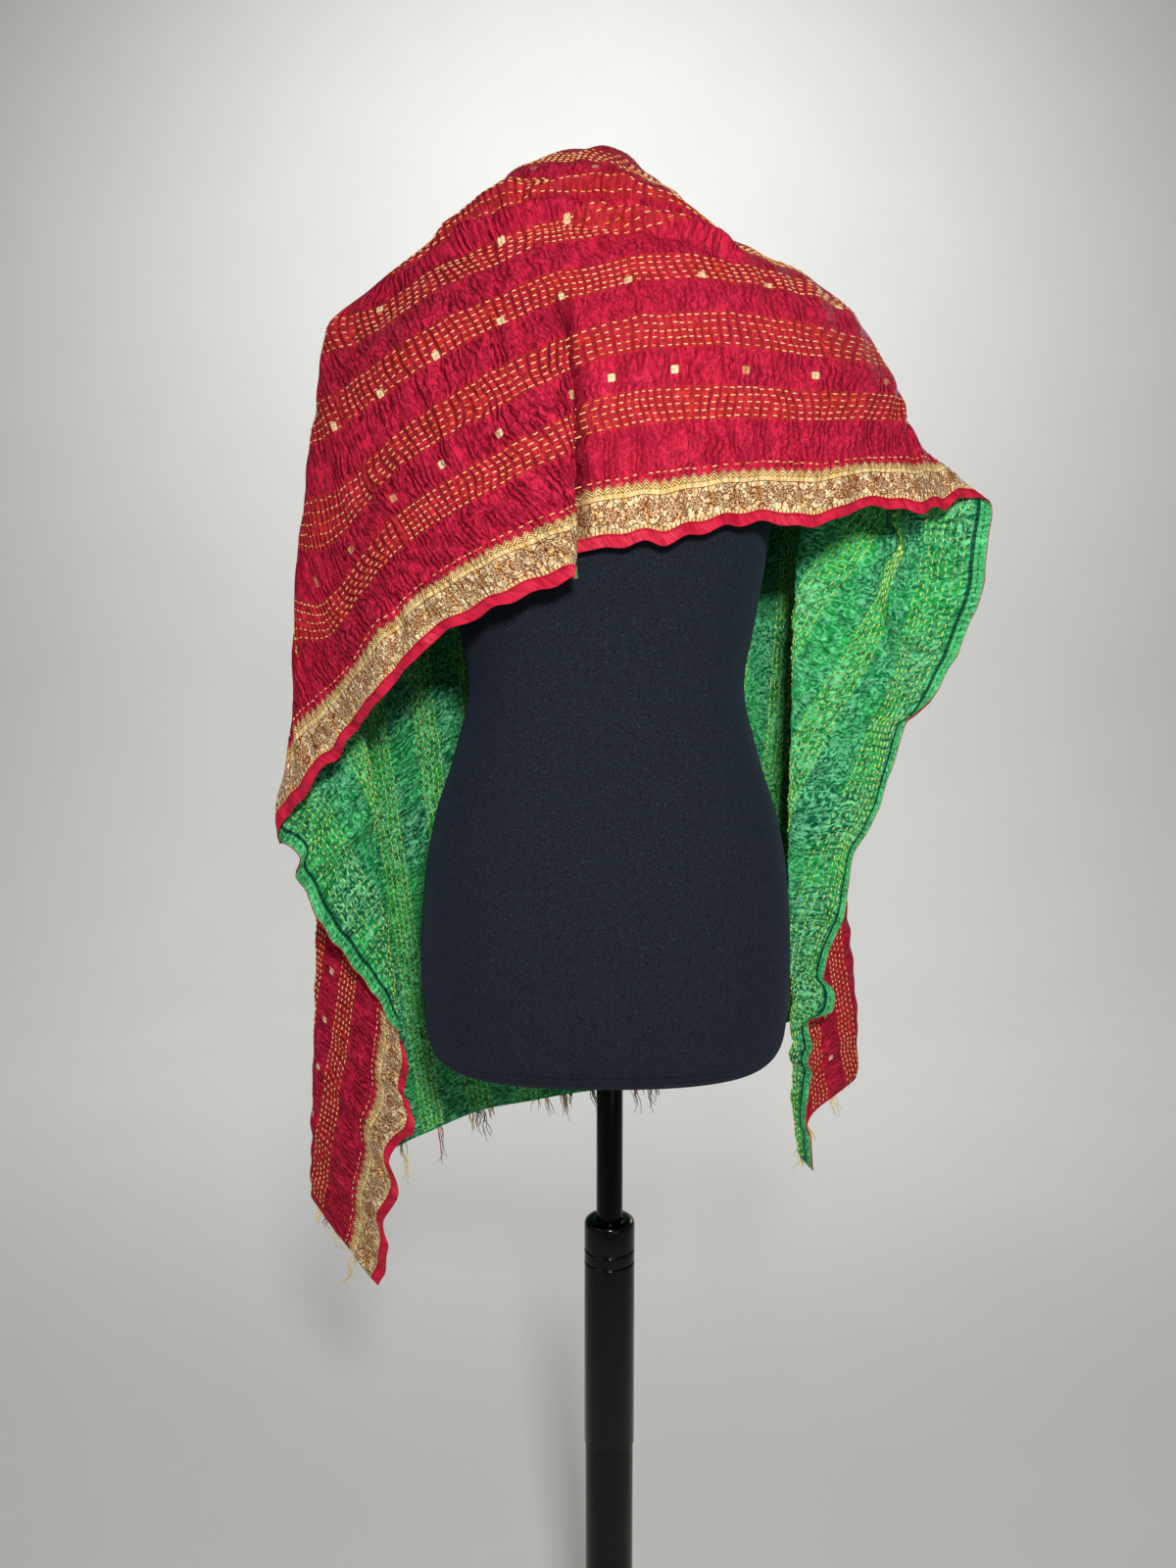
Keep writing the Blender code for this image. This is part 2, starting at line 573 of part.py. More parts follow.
def add_fringe(name, rows, free_row, finish, draw):
    """A narrow strip along one end of the shawl with loose threads that hang from its edge."""
    strands = evenly(STRAND_PITCH / 2, SHAWL_WIDTH - STRAND_PITCH / 2, STRAND_PITCH)
    roots = np.stack([strands - STRAND_HALF, strands + STRAND_HALF], axis=1).ravel()
    clear = [place for place in ACROSS if np.abs(strands - place).min() > 2 * STRAND_HALF]
    across = np.sort(np.concatenate([clear, roots]))
    ends = middle_of(rows, slice(0, len(ACROSS)))
    middle = np.stack([line_through(ACROSS, end, across) for end in ends])
    facing = np.stack([line_through(ACROSS, end, across) for end in NORMALS[rows]])
    points, faces, rim = close_wall(middle, facing, np.ones((1, len(across) - 1), bool))
    outwards = middle[free_row] - middle[1 - free_row]
    outwards /= np.linalg.norm(outwards, axis=1, keepdims=True)
    inner = 2 * len(across)
    for strand in strands:
        beside = int(np.argmin(np.abs(across - (strand - STRAND_HALF))))
        low = free_row * len(across) + beside
        key = (low + 1, low) if free_row == 0 else (low, low + 1)
        rim.pop(key)
        root = [key[1], key[0], key[0] + inner, key[1] + inner]
        length = STRAND_SHORTEST + (STRAND_LONGEST - STRAND_SHORTEST) * draw.random() ** 2
        scatter = draw.uniform(-STRAND_SCATTER, STRAND_SCATTER, 3)
        way = outwards[beside] * STRAND_OUTWARDS + scatter - np.array([0.0, 0.0, STRAND_HANG])
        way *= length / np.linalg.norm(way)
        corners = np.array([points[v] for v in root])
        centre = corners.mean(axis=0)
        first = len(points)
        points.extend((centre + (corners - centre) * STRAND_TIP + way).tolist())
        for a, b in ((0, 1), (1, 2), (2, 3), (3, 0)):
            faces.append([root[a], root[b], first + b, first + a])
        faces.append([first, first + 1, first + 2, first + 3])
    mesh = bpy.data.meshes.new(name)
    mesh.from_pydata(points, [], faces + sum(rim.values(), []))
    return add_object(name, mesh, finish)


def add_fringes():
    """The raw ends of the silk, each frayed into uneven threads."""
    threads = material("frayed_threads", (0.35, 0.12, 0.08), 0.7)
    draw = np.random.default_rng(STRAND_SEED)
    add_fringe("left_fringe", slice(0, 2), 0, threads, draw)
    add_fringe("right_fringe", slice(len(ALONG) - 2, len(ALONG)), 1, threads, draw)


def add_dress_form():
    """A limbless padded form: a loft of rounded rings, shallower in front than behind."""
    angle = np.arange(FORM_SIDES) * 2 * math.pi / FORM_SIDES
    power = 2 / FORM_SQUARENESS
    side = np.sign(np.cos(angle)) * np.abs(np.cos(angle)) ** power
    depth = np.sign(np.sin(angle)) * np.abs(np.sin(angle)) ** power
    mesh = bpy.data.meshes.new("dress_form")
    shape = bmesh.new()
    rings = []
    for height, half_width, front, back in FORM_RINGS:
        x = FORM_SHIFT_X + half_width * side
        y = np.where(depth < 0, front, back) * depth
        rings.append([shape.verts.new((px, py, height)) for px, py in zip(x, y)])
    for below, above in zip(rings, rings[1:]):
        for k in range(FORM_SIDES):
            n = (k + 1) % FORM_SIDES
            shape.faces.new((below[k], below[n], above[n], above[k]))
    shape.faces.new(rings[0][::-1])
    shape.faces.new(rings[-1])
    shape.to_mesh(mesh)
    shape.free()
    return add_object("dress_form", mesh, material("black_jersey", (0.008, 0.012, 0.02), 0.85))


def add_turned(name, profile, finish, closed=False):
    """A round piece: the profile, listed down its outer side, is turned about the upright axis."""
    mesh = bpy.data.meshes.new(name)
    edges = [(k, k + 1) for k in range(len(profile) - 1)]
    if closed:
        edges.append((len(profile) - 1, 0))
    mesh.from_pydata([(radius, 0.0, height) for radius, height in profile], edges, [])
    made = bpy.data.objects.new(name, mesh)
    mesh.materials.append(finish)
    parts.objects.link(made)
    turn = made.modifiers.new("turn", "SCREW")
    turn.steps = turn.render_steps = ROUND_STEPS
    turn.use_merge_vertices = True
    turn.merge_threshold = 0.00001
    return made


def add_stand():
    """A round weighted base, a fixed sleeve with its clamp collar, and the tube that slides in it."""
    gloss = material("gloss_black_metal", (0.01, 0.01, 0.012), 0.25, 0.6)
    add_turned("base_plate", [
        (0.0, BASE_HEIGHT),
        (BASE_RADIUS - BASE_EDGE, BASE_HEIGHT),
        (BASE_RADIUS, BASE_HEIGHT - BASE_EDGE),
        (BASE_RADIUS, 0.0),
        (0.0, 0.0)], gloss)
    sleeve_top = COLLAR_BOTTOM - SEAM_GAP
    sleeve_bottom = BASE_HEIGHT + SEAM_GAP
    sleeve_bore = SLEEVE_RADIUS - SLEEVE_WALL
    add_turned("outer_sleeve", [
        (SLEEVE_RADIUS, sleeve_top),
        (SLEEVE_RADIUS, sleeve_bottom),
        (sleeve_bore, sleeve_bottom),
        (sleeve_bore, sleeve_top)], gloss, closed=True)
    bore = TUBE_RADIUS + TUBE_PLAY
    outline = [(bore, COLLAR_TOP), (COLLAR_RADIUS - COLLAR_ROUNDING, COLLAR_TOP)]
    outline.append((COLLAR_RADIUS - COLLAR_CHAMFER, COLLAR_TOP - COLLAR_CHAMFER))
    outline.append((COLLAR_RADIUS, COLLAR_TOP - COLLAR_ROUNDING))
    for height in COLLAR_GROOVES:
        outline.append((COLLAR_RADIUS, height + GROOVE_HALF))
        outline.append((COLLAR_RADIUS - GROOVE_DEEP, height))
        outline.append((COLLAR_RADIUS, height - GROOVE_HALF))
    outline.append((COLLAR_RADIUS, COLLAR_BOTTOM))
    outline.append((bore, COLLAR_BOTTOM))
    add_turned("clamp_collar", outline, gloss, closed=True)
    tube_top = FORM_BOTTOM - SEAM_GAP
    add_turned("height_tube", [
        (0.0, tube_top),
        (TUBE_RADIUS, tube_top),
        (TUBE_RADIUS, TUBE_BOTTOM),
        (0.0, TUBE_BOTTOM)], material("black_steel_tube", (0.015, 0.015, 0.018), 0.2, 0.8))


add_shawl()
add_fringes()
add_dress_form()
add_stand()
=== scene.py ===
# %% [markdown]
# # A stitched silk shawl on a dress form
#
# The shawl is one long rectangle of silk, red on one face and printed green on the other,
# quilted with rows of running stitch. Its middle lies across the front of a black dress form,
# and both ends go over the shoulders and hang behind as loose accordion folds. This lesson
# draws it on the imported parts: the cloth, its hem, its stitches and its frayed ends, the
# jersey form, and the stand. All lengths are in metres, but for the drape's tables, which are in
# millimetres. The front looks along -Y.

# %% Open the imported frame
import math

import bpy
import numpy as np
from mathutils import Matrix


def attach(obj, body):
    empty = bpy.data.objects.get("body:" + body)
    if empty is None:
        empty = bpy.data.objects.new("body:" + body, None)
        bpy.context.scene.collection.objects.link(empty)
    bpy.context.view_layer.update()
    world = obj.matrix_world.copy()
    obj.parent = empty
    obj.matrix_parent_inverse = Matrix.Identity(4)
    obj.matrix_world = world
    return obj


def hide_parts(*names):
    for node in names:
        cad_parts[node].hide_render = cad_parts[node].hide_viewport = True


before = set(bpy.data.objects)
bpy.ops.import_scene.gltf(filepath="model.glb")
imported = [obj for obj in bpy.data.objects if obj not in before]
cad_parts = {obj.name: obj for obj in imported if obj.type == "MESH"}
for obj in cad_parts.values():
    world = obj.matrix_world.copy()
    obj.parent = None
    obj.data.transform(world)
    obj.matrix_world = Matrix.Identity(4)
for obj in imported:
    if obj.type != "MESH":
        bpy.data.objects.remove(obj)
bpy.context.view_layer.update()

# %% [markdown]
# ## The camera
#
# The photograph was taken from the front, from just above the shawl's middle, a little over a
# metre away and tilted down. A wide lens so close is why the hem seems to bow. The numbers come
# from the heights at which level lines on the form look straight.

# %% Camera
CAMERA_PLACE = (-0.0205, -1.084, 1.17)
CAMERA_TILT = 85.0
FOCAL_LENGTH = 27.045

camera = bpy.data.objects.new("camera", bpy.data.cameras.new("camera"))
camera.data.lens = FOCAL_LENGTH
camera.data.sensor_width = 36.0
camera.location = CAMERA_PLACE
camera.rotation_euler = (math.radians(CAMERA_TILT), 0.0, 0.0)
bpy.context.scene.collection.objects.link(camera)
bpy.context.scene.camera = camera
print("camera", CAMERA_PLACE, "tilted to", CAMERA_TILT)

# %% [markdown]
# ## The drape as a chart
#
# Cloth can be simulated, but this drape was arranged by hand, with a pleat at the front and
# leaves folded back over the shoulders, and a simulation would undo it. It is written as a chart
# instead. Each section is a line across the cloth, from the bordered hem to the neck edge, and
# each station on it says where one point of the flat cloth lies in space. "Across" is measured
# from the hem, "along" from the front pleat, and both are real lengths of silk, so that every
# pattern that follows them keeps its true size. The tables are in millimetres.

# %% Sizes of the cloth
SHAWL_WIDTH = 0.55
LEFT_END = -1.04
RIGHT_END = 1.10
LEFT_SPLIT = -0.22
RIGHT_SPLIT = 0.33
CLOTH_HALF = 0.0007
HEM_WIDTH = 0.011

# %% Points where folds meet: across, along, x, y, z
LEFT_APEX = (280, -200, -257, 5, 1490)
RIGHT_APEX = (270, 315, 196, 50, 1460)
LEFT_CORNER = (120, -1040, -313, 100, 640)
RIGHT_CORNER = (175, 1100, 259, 92, 767)
RIGHT_TWIST = (30, 1100, 183, 33, 709)
RIGHT_FOOT = (42, 925, 174, 33, 847)

# %% Sections from the left end to the right end: name, run, section followed beyond, stations
SECTIONS = (
    ("left_end", "straight", None, (
        (0, -1040, -230, 50, 565), LEFT_CORNER, (240, -1040, -215, 135, 680),
        (330, -1040, -137, 150, 710), (445, -1040, -22, 160, 727), (550, -1040, 68, 160, 735))),
    ("left_back_leaf", "straight", "left_end", (
        LEFT_CORNER, (280, -620, -222, 105, 1070), (360, -640, -157, 130, 1100),
        (440, -650, -82, 148, 1090), (550, -660, 3, 152, 1070))),
    ("left_outer_fold", "straight", "left_end", (
        LEFT_CORNER, LEFT_APEX, (360, -260, -192, 70, 1485),
        (440, -270, -137, 105, 1470), (550, -280, -77, 122, 1400))),
    ("left_inner_fold", "straight", None, (
        (0, -770, -198, 35, 815), LEFT_APEX, (360, -215, -179, 45, 1528),
        (440, -210, -119, 85, 1540), (550, -210, -67, 112, 1465))),
    ("left_front_fold", "straight", None, (
        (0, -515, -308, -15, 1023), (100, -400, -290, -15, 1218), LEFT_APEX,
        (355, -160, -157, 10, 1562), (440, -150, -92, 55, 1600), (550, -140, -52, 98, 1530))),
    ("left_arm", "curved", None, (
        (0, -410, -246, -50, 1098), (131, -320, -262, -20, 1257), (208, -235, -242, -30, 1392),
        (283, -168, -222, -10, 1490), (360, -125, -139, 10, 1575), (440, -110, -82, 50, 1615),
        (550, -100, -42, 95, 1540))),
    ("left_breast", "curved", None, (
        (0, -300, -184, -90, 1172), (131, -206, -182, -85, 1322), (208, -121, -146, -88, 1437),
        (283, -92, -146, -48, 1521), (345, -70, -111, -5, 1588), (440, -60, -67, 45, 1635),
        (550, -60, -32, 92, 1545))),
    ("left_chest", "curved", None, (
        (0, -165, -81, -125, 1236), (131, -92, -92, -125, 1367), (208, -64, -91, -100, 1461),
        (283, -35, -93, -64, 1536), (352, -30, -87, -30, 1602), (440, -20, -42, 38, 1643),
        (550, -20, -19, 90, 1550))),
    ("pleat_edge", "curved", None, (
        (0, -100, -28, -141, 1252), (131, -30, -31, -146, 1392), (206, -7, -41, -105, 1477),
        (283, 12, -45, -68, 1550), (360, 20, -42, -34, 1607), (440, 10, -17, 35, 1650),
        (550, 5, -9, 88, 1555))),
    ("pleat_inside", "curved", None, (
        (0, -50, -68, -112, 1256), (131, -12, -47, -127, 1392), (206, 0, -36, -104.5, 1478),
        (283, 22, -38, -68, 1550), (360, 28, -34, -34, 1608), (440, 10, -17, 35, 1650),
        (550, 5, -9, 88, 1555))),
    ("pleat_root", "curved", None, (
        (0, 5, -14, -122, 1276), (131, 6, -18, -133, 1404), (206, 8, -30, -104, 1479),
        (283, 32, -28, -67, 1552), (360, 36, -27, -34, 1609), (440, 30, -2, 34, 1652),
        (550, 20, -2, 88, 1555))),
    ("right_chest", "curved", None, (
        (0, 80, 57, -120, 1287), (131, 78, 47, -132, 1414), (208, 80, 44, -100, 1497),
        (283, 90, 35, -65, 1557), (360, 100, 30, -28, 1598), (440, 80, 38, 40, 1626),
        (550, 60, 18, 90, 1550))),
    ("right_breast", "curved", None, (
        (0, 192, 165, -88, 1305), (131, 192, 166, -85, 1421), (208, 190, 157, -55, 1499),
        (283, 175, 126, -10, 1545), (360, 165, 98, 30, 1575), (440, 150, 73, 60, 1600),
        (550, 120, 43, 105, 1512))),
    ("right_front_fold", "straight", None, (
        (0, 385, 343, -10, 1332), (75, 325, 276, -8, 1385), (131, 272, 256, -5, 1434),
        (208, 247, 220, 0, 1490), (283, 220, 173, 22, 1540), (360, 220, 136, 75, 1537),
        (440, 210, 95, 100, 1520), (550, 210, 60, 125, 1440))),
    ("right_green_leaf", "straight", None, (
        (0, 660, 255, 15, 1064), (135, 430, 256, 20, 1288), RIGHT_APEX,
        (360, 300, 160, 110, 1490), (440, 300, 113, 130, 1450), (550, 310, 44, 150, 1340))),
    ("right_leaf_foot", "straight", "right_inner_fold", (
        (0, 905, 212, 24, 855), RIGHT_FOOT)),
    ("right_strip_top", "straight", "right_inner_fold", (
        (0, 930, 191, 20, 846), (32, 955, 172, 32, 820))),
    ("right_inner_fold", "straight", "right_end", (
        RIGHT_TWIST, (32, 955, 172, 32, 820), RIGHT_FOOT,
        (50, 810, 170, 32, 935), (80, 725, 169, 31, 1010), (120, 620, 167, 30, 1115),
        (190, 455, 168, 28, 1295), RIGHT_APEX, (360, 300, 160, 110, 1490),
        (440, 300, 113, 130, 1450), (550, 310, 44, 150, 1340))),
    ("right_outer_fold", "straight", "right_end", (
        RIGHT_CORNER, (178, 1055, 262, 93, 803), (196, 915, 240, 92, 939),
        RIGHT_APEX, (360, 345, 180, 128, 1440), (440, 350, 126, 152, 1392),
        (550, 365, 48, 164, 1285))),
    ("right_back_leaf", "straight", "right_end", (
        RIGHT_CORNER, (270, 700, 232, 134, 1102), (360, 700, 150, 171, 1090),
        (440, 700, 76, 188, 1070), (550, 690, -30, 190, 1030))),
    ("right_end", "straight", None, (
        (0, 1100, 197, 12, 701), RIGHT_TWIST, (85, 1100, 197, 50, 741),
        RIGHT_CORNER, (250, 1100, 208, 142, 812), (360, 1100, 100, 184, 776),
        (450, 1100, 10, 204, 738), (550, 1100, -98, 204, 720))),
)

# %% How far the hem waves off its fold lines: along, then the shift in x, y and z
HEM_WAVES = (
    (-1040, 0, 0, 0), (-995, 6, -4, 0), (-970, -4, 4, 0), (-935, 10, -6, 0), (-895, -4, 5, 0),
    (-855, 19, -8, 0), (-820, 2, 6, 0), (-790, 6, -4, 0), (-770, 0, 0, 0), (-700, 0, 4, 0),
    (-620, -4, -4, 0), (-560, -4, 6, 4), (-545, 8, 4, 10), (-515, 0, 0, 0), (-450, -3, -4, 0),
    (-380, 4, 4, 4), (-320, 2, -4, -4), (-240, 0, 6, 4), (-180, 0, -4, -2), (-100, 0, 0, 0),
    (0, 0, 0, 0), (60, 0, -4, -4), (130, 0, 5, 3), (200, 0, -6, -8), (235, 0, 6, 4),
    (300, 0, -6, -6), (360, 0, 4, 4), (385, 2, 0, 0), (420, 10, 4, 0), (470, 20, -6, 0),
    (520, 22, 4, 0), (575, 16, 4, 6), (595, -2, -4, 4), (660, 2, 3, 0), (695, -4, -4, 0),
    (731, -12, 4, 0), (794, -9, -3, 0), (854, -14, 2, 0), (872, -12, 0, 0), (890, 2, -2, 0),
    (905, 4, 0, -2), (930, -2, 0, 0), (960, 2, -3, 0), (1046, -4, 3, 0), (1100, 0, 0, 0),
)

# %% Soft creases: along and across at both ends, half width, height towards the red face
CREASES = (
    (-160, 300, 0, 318, 10, -10),
    (-20, 318, 160, 300, 10, -10),
    (-120, 322, 140, 325, 12, 6),
    (0, 345, 120, 338, 8, -6),
    (-470, 20, -380, 160, 14, -8),
    (-600, 30, -420, 120, 16, 8),
    (450, 20, 400, 170, 14, 12),
    (520, 30, 440, 140, 14, -8),
    (-300, 0, -255, 60, 10, -6),
    (-130, 20, -90, 160, 14, -5),
    (-568, 0, -575, 80, 10, -9),
    (-602, 10, -592, 90, 13, 9),
    (585, 0, 580, 60, 10, 8),
    (872, 0, 850, 30, 9, 6),
    (-150, 308, -60, 297, 7, 9.5),
    (-150, 295, -60, 284, 6, -3.5),
    (-75, 298, 30, 295, 7, 14.5),
    (-75, 285, 30, 282, 6, -3.5),
    (20, 294, 150, 243, 7.5, 13),
    (20, 281, 150, 230, 6, -3),
    (-20, 318, 85, 326, 6.5, 11),
    (-120, 336, -10, 330, 8, 6),
)

# %% [markdown]
# ## From the chart to a smooth cloth
#
# A leaf that hangs from the shoulder is straight along its length, while the front curves over
# the chest. So the hanging sections run in straight stretches and the front ones follow a curve
# that never overshoots its stations. Everything is then softened by a running mean, which turns
# each sharp fold into a round one: a small amount at the front, a little more in the falls.

# %% Curves through the stations
STEP = 0.0025
FRONT_SOFTNESS = 0.0055
FALL_SOFTNESS = 0.0085
FRONT_CENTRE = -0.05
FRONT_REACH = 0.40
FRONT_BLEND = 0.12


def metres(table):
    """A table of millimetres as an array of metres."""
    return np.array(table) / 1000


def curve_through(at_known, known, at):
    """Values on cubic stretches between the known ones. Each slope is the harmonic mean of the
    slopes on its two sides, and zero at a turning point, so that no stretch overshoots."""
    span = np.diff(at_known)
    slope = np.diff(known, axis=0) / span[:, None]
    before, after = slope[:-1], slope[1:]
    same_way = before * after > 0
    total = np.where(same_way, before + after, 1.0)
    inside = np.where(same_way, 2 * before * after / total, 0.0)
    tangent = np.concatenate([slope[:1], inside, slope[-1:]])
    piece = np.clip(np.searchsorted(at_known, at, side="right") - 1, 0, len(span) - 1)
    u = ((at - at_known[piece]) / span[piece])[:, None]
    width = span[piece][:, None]
    start = known[piece] * (1 + 2 * u) * (1 - u) ** 2 + tangent[piece] * width * u * (1 - u) ** 2
    end = known[piece + 1] * u * u * (3 - 2 * u) + tangent[piece + 1] * width * u * u * (u - 1)
    return start + end


def line_through(at_known, known, at):
    """Values on straight stretches between the known ones."""
    return np.stack([np.interp(at, at_known, column) for column in known.T], axis=1)


def soften(values, axis, softness):
    """A running mean with bell-shaped weights. The ends are carried on as their own mirror turned
    upside down, so that a straight run stays straight up to its end."""
    spread = softness / STEP
    reach = math.ceil(3 * spread)
    weights = np.exp(-0.5 * (np.arange(-reach, reach + 1) / spread) ** 2)
    weights /= weights.sum()
    values = np.moveaxis(values, axis, 0)
    before = 2 * values[:1] - values[1:reach + 1][::-1]
    after = 2 * values[-1:] - values[-reach - 1:-1][::-1]
    padded = np.concatenate([before, values, after])
    soft = sum(weight * padded[k:k + len(values)] for k, weight in enumerate(weights))
    return np.moveaxis(soft, 0, axis)


# %% Lay the chart out as a grid of points
along_places = np.arange(round((RIGHT_END - LEFT_END) / STEP) + 1) * STEP + LEFT_END
across_places = np.arange(round(SHAWL_WIDTH / STEP) + 1) * STEP


def read_sections(across):
    """Each section's place along the cloth and in space, at each place across it."""
    read = {}
    for name, run, _, stations in SECTIONS:
        table = metres(stations)
        through = curve_through if run == "curved" else line_through
        read[name] = through(table[:, 0], table[:, 1:], across)
    for name, _, beyond, stations in SECTIONS:
        if beyond:
            first, last = metres(stations)[[0, -1], 0]
            follows = (across < first) | (across > last + STEP / 2)
            read[name][follows] = read[beyond][follows]
    return np.stack([read[name] for name, _, _, _ in SECTIONS])


def lay_out_chart():
    """Points of the draped cloth: straight runs in the falls, curves at the front, and a smooth
    blend from one to the other, softened along and across."""
    sections = read_sections(across_places)
    front = (FRONT_REACH - np.abs(along_places - FRONT_CENTRE)) / FRONT_BLEND
    front = np.clip(front, 0, 1)[:, None]
    front = front * front * (3 - 2 * front)
    grid = np.empty((len(along_places), len(across_places), 3))
    for j in range(len(across_places)):
        line = sections[:, j]
        apart = np.append(True, np.diff(line[:, 0]) > 1e-5)
        at, places = line[apart, 0], line[apart, 1:]
        hung = line_through(at, places, along_places)
        grid[:, j] = hung + (curve_through(at, places, along_places) - hung) * front
    crisp = soften(soften(grid, 0, FRONT_SOFTNESS), 1, FRONT_SOFTNESS)
    round_folds = soften(soften(grid, 0, FALL_SOFTNESS), 1, FALL_SOFTNESS)
    return round_folds + (crisp - round_folds) * front[..., None]


drape = lay_out_chart()
print("drape grid", drape.shape)

# %% [markdown]
# ## Creases, puckers and a wavy hem
#
# The quilting makes this silk stand in small puckers. The rows of stitches hold it down, so the
# plain stripes between them swell a little, and the long loose edge ripples. Creases are placed
# where the cloth was handled. The finest puckers are far smaller than a mesh can hold,
# so they are left to the material, but they follow one and the same "pucker count", a number
# that grows by one from each pucker to the next, and the stitches use it too.

# %% Where the stitch rows lie, across the cloth
BAND_START = 0.105
BAND_PITCH = 0.056
BAND_COUNT = 8
ROWS_IN_BAND = 5
ROW_PITCH = 0.0056
LONE_ROW = 0.0535
STITCH_PITCH = 0.0070

# %% Wrinkles
CREASE_FULL_SHARE = 0.35
CREASE_FADE_SHARE = 0.12


def wrinkles(s, t, seed, waves, along_range, across_range):
    """A sum of waves with drawn directions, lengths and phases, scaled to a spread of one. The
    ranges are in waves for each metre."""
    draw = np.random.default_rng(seed)
    height = np.zeros(np.broadcast(s, t).shape)
    for _ in range(waves):
        per_s = draw.uniform(*along_range)
        per_t = draw.uniform(*across_range) * draw.choice((-1, 1))
        height += np.cos(2 * math.pi * (per_s * s + per_t * t + draw.random()))
    return height / math.sqrt(waves / 2)


def pucker_count(s, t):
    """How many puckers lie between the front pleat and a place: the length along it divided by a
    stitch, led off course by slow waves so that the pucker lines wander."""
    return s / STITCH_PITCH + 0.38 * wrinkles(s, t, 11, 14, (2, 14), (6, 26))


def crease_heights(s, t):
    """A bell across each crease, faded out at its two ends."""
    height = np.zeros(s.shape)
    for s0, t0, s1, t1, half_width, tall in metres(CREASES):
        length = math.hypot(s1 - s0, t1 - t0)
        way_s, way_t = (s1 - s0) / length, (t1 - t0) / length
        share = ((s - s0) * way_s + (t - t0) * way_t) / length
        off = (t - t0) * way_s - (s - s0) * way_t
        past_end = np.maximum(0, np.abs(share - 0.5) - CREASE_FULL_SHARE) / CREASE_FADE_SHARE
        height += tall * np.exp(-(past_end ** 2) - (off / half_width) ** 2)
    return height


def stripe_swell(t):
    """Zero on a band of stitch rows, one midway between two bands."""
    return 0.5 - 0.5 * np.cos(2 * math.pi * (t - BAND_START) / BAND_PITCH)


def unit(vectors):
    """Vectors shortened or stretched to a length of one."""
    return vectors / np.linalg.norm(vectors, axis=-1, keepdims=True)


def facing_of(grid):
    """Unit normals of a grid of points, out of the red face: the step along crossed with the
    step across."""
    return unit(np.cross(np.gradient(grid, axis=0), np.gradient(grid, axis=1)))


# %% Shape the drape
HEM_WAVE_REACH = 0.045
RIPPLE_REACH = 0.03
FLUTE_REACH = 0.022


def shape_drape(grid):
    """The laid-out grid with its hem waves, creases, swelling stripes and puckers. The hem waves
    die away across the cloth, and so do an up-and-down ripple and a fluting of the edge."""
    s, t = np.meshgrid(along_places, across_places, indexing="ij")
    waves = metres(HEM_WAVES)
    shift = curve_through(waves[:, 0], waves[:, 1:], along_places)
    grid = grid + shift[:, None] * np.exp(-(t / HEM_WAVE_REACH) ** 1.5)[..., None]
    grid[..., 2] += 0.0016 * wrinkles(s, t, 8, 8, (14, 34), (0, 1)) * np.exp(-t / RIPPLE_REACH)
    height = crease_heights(s, t)
    height += 0.0009 * stripe_swell(t)
    height += 0.0007 * wrinkles(s, t, 5, 18, (14, 42), (1, 9))
    height += 0.0016 * wrinkles(s, t, 6, 10, (12, 30), (0, 2)) * np.exp(-t / FLUTE_REACH)
    return grid + facing_of(grid) * height[..., None]


drape = shape_drape(drape)
facing = facing_of(drape)
print("lowest and highest cloth", drape[..., 2].min().round(3), drape[..., 2].max().round(3))


def read_grid(grid, s, t):
    """Values of a grid at any places along and across, in straight steps between its points."""
    i = np.clip((s - LEFT_END) / STEP, 0, grid.shape[0] - 1.000001)
    j = np.clip(t / STEP, 0, grid.shape[1] - 1.000001)
    i0, j0 = i.astype(int), j.astype(int)
    u, v = (i - i0)[..., None], (j - j0)[..., None]
    low = grid[i0, j0] * (1 - v) + grid[i0, j0 + 1] * v
    high = grid[i0 + 1, j0] * (1 - v) + grid[i0 + 1, j0 + 1] * v
    return low * (1 - u) + high * u

# %% [markdown]
# ## A short way to write materials
#
# Every finish here is a small sum of patterns: rows, puckers, threads and a little chance. So
# what a node gives out is wrapped as a signal, and plain arithmetic on signals adds the nodes. The
# cloth carries an attribute with its place along, its place across and its pucker count, so a
# pattern bends with each fold as the real weave does.

# %% Material helper
CLOTH_PLACE = "cloth_place"


def colour(code):
    """A colour from its six-digit code, turned from screen values to amounts of light."""
    values = [int(code[k:k + 2], 16) / 255 for k in (0, 2, 4)]
    light = [v / 12.92 if v <= 0.04045 else ((v + 0.055) / 1.055) ** 2.4 for v in values]
    return (*light, 1.0)


def step(operation):
    """A method that does one step of arithmetic with a node."""
    def method(signal, *others):
        inputs = enumerate((signal, *others))
        return signal.finish.node("ShaderNodeMath", inputs, operation=operation)
    return method


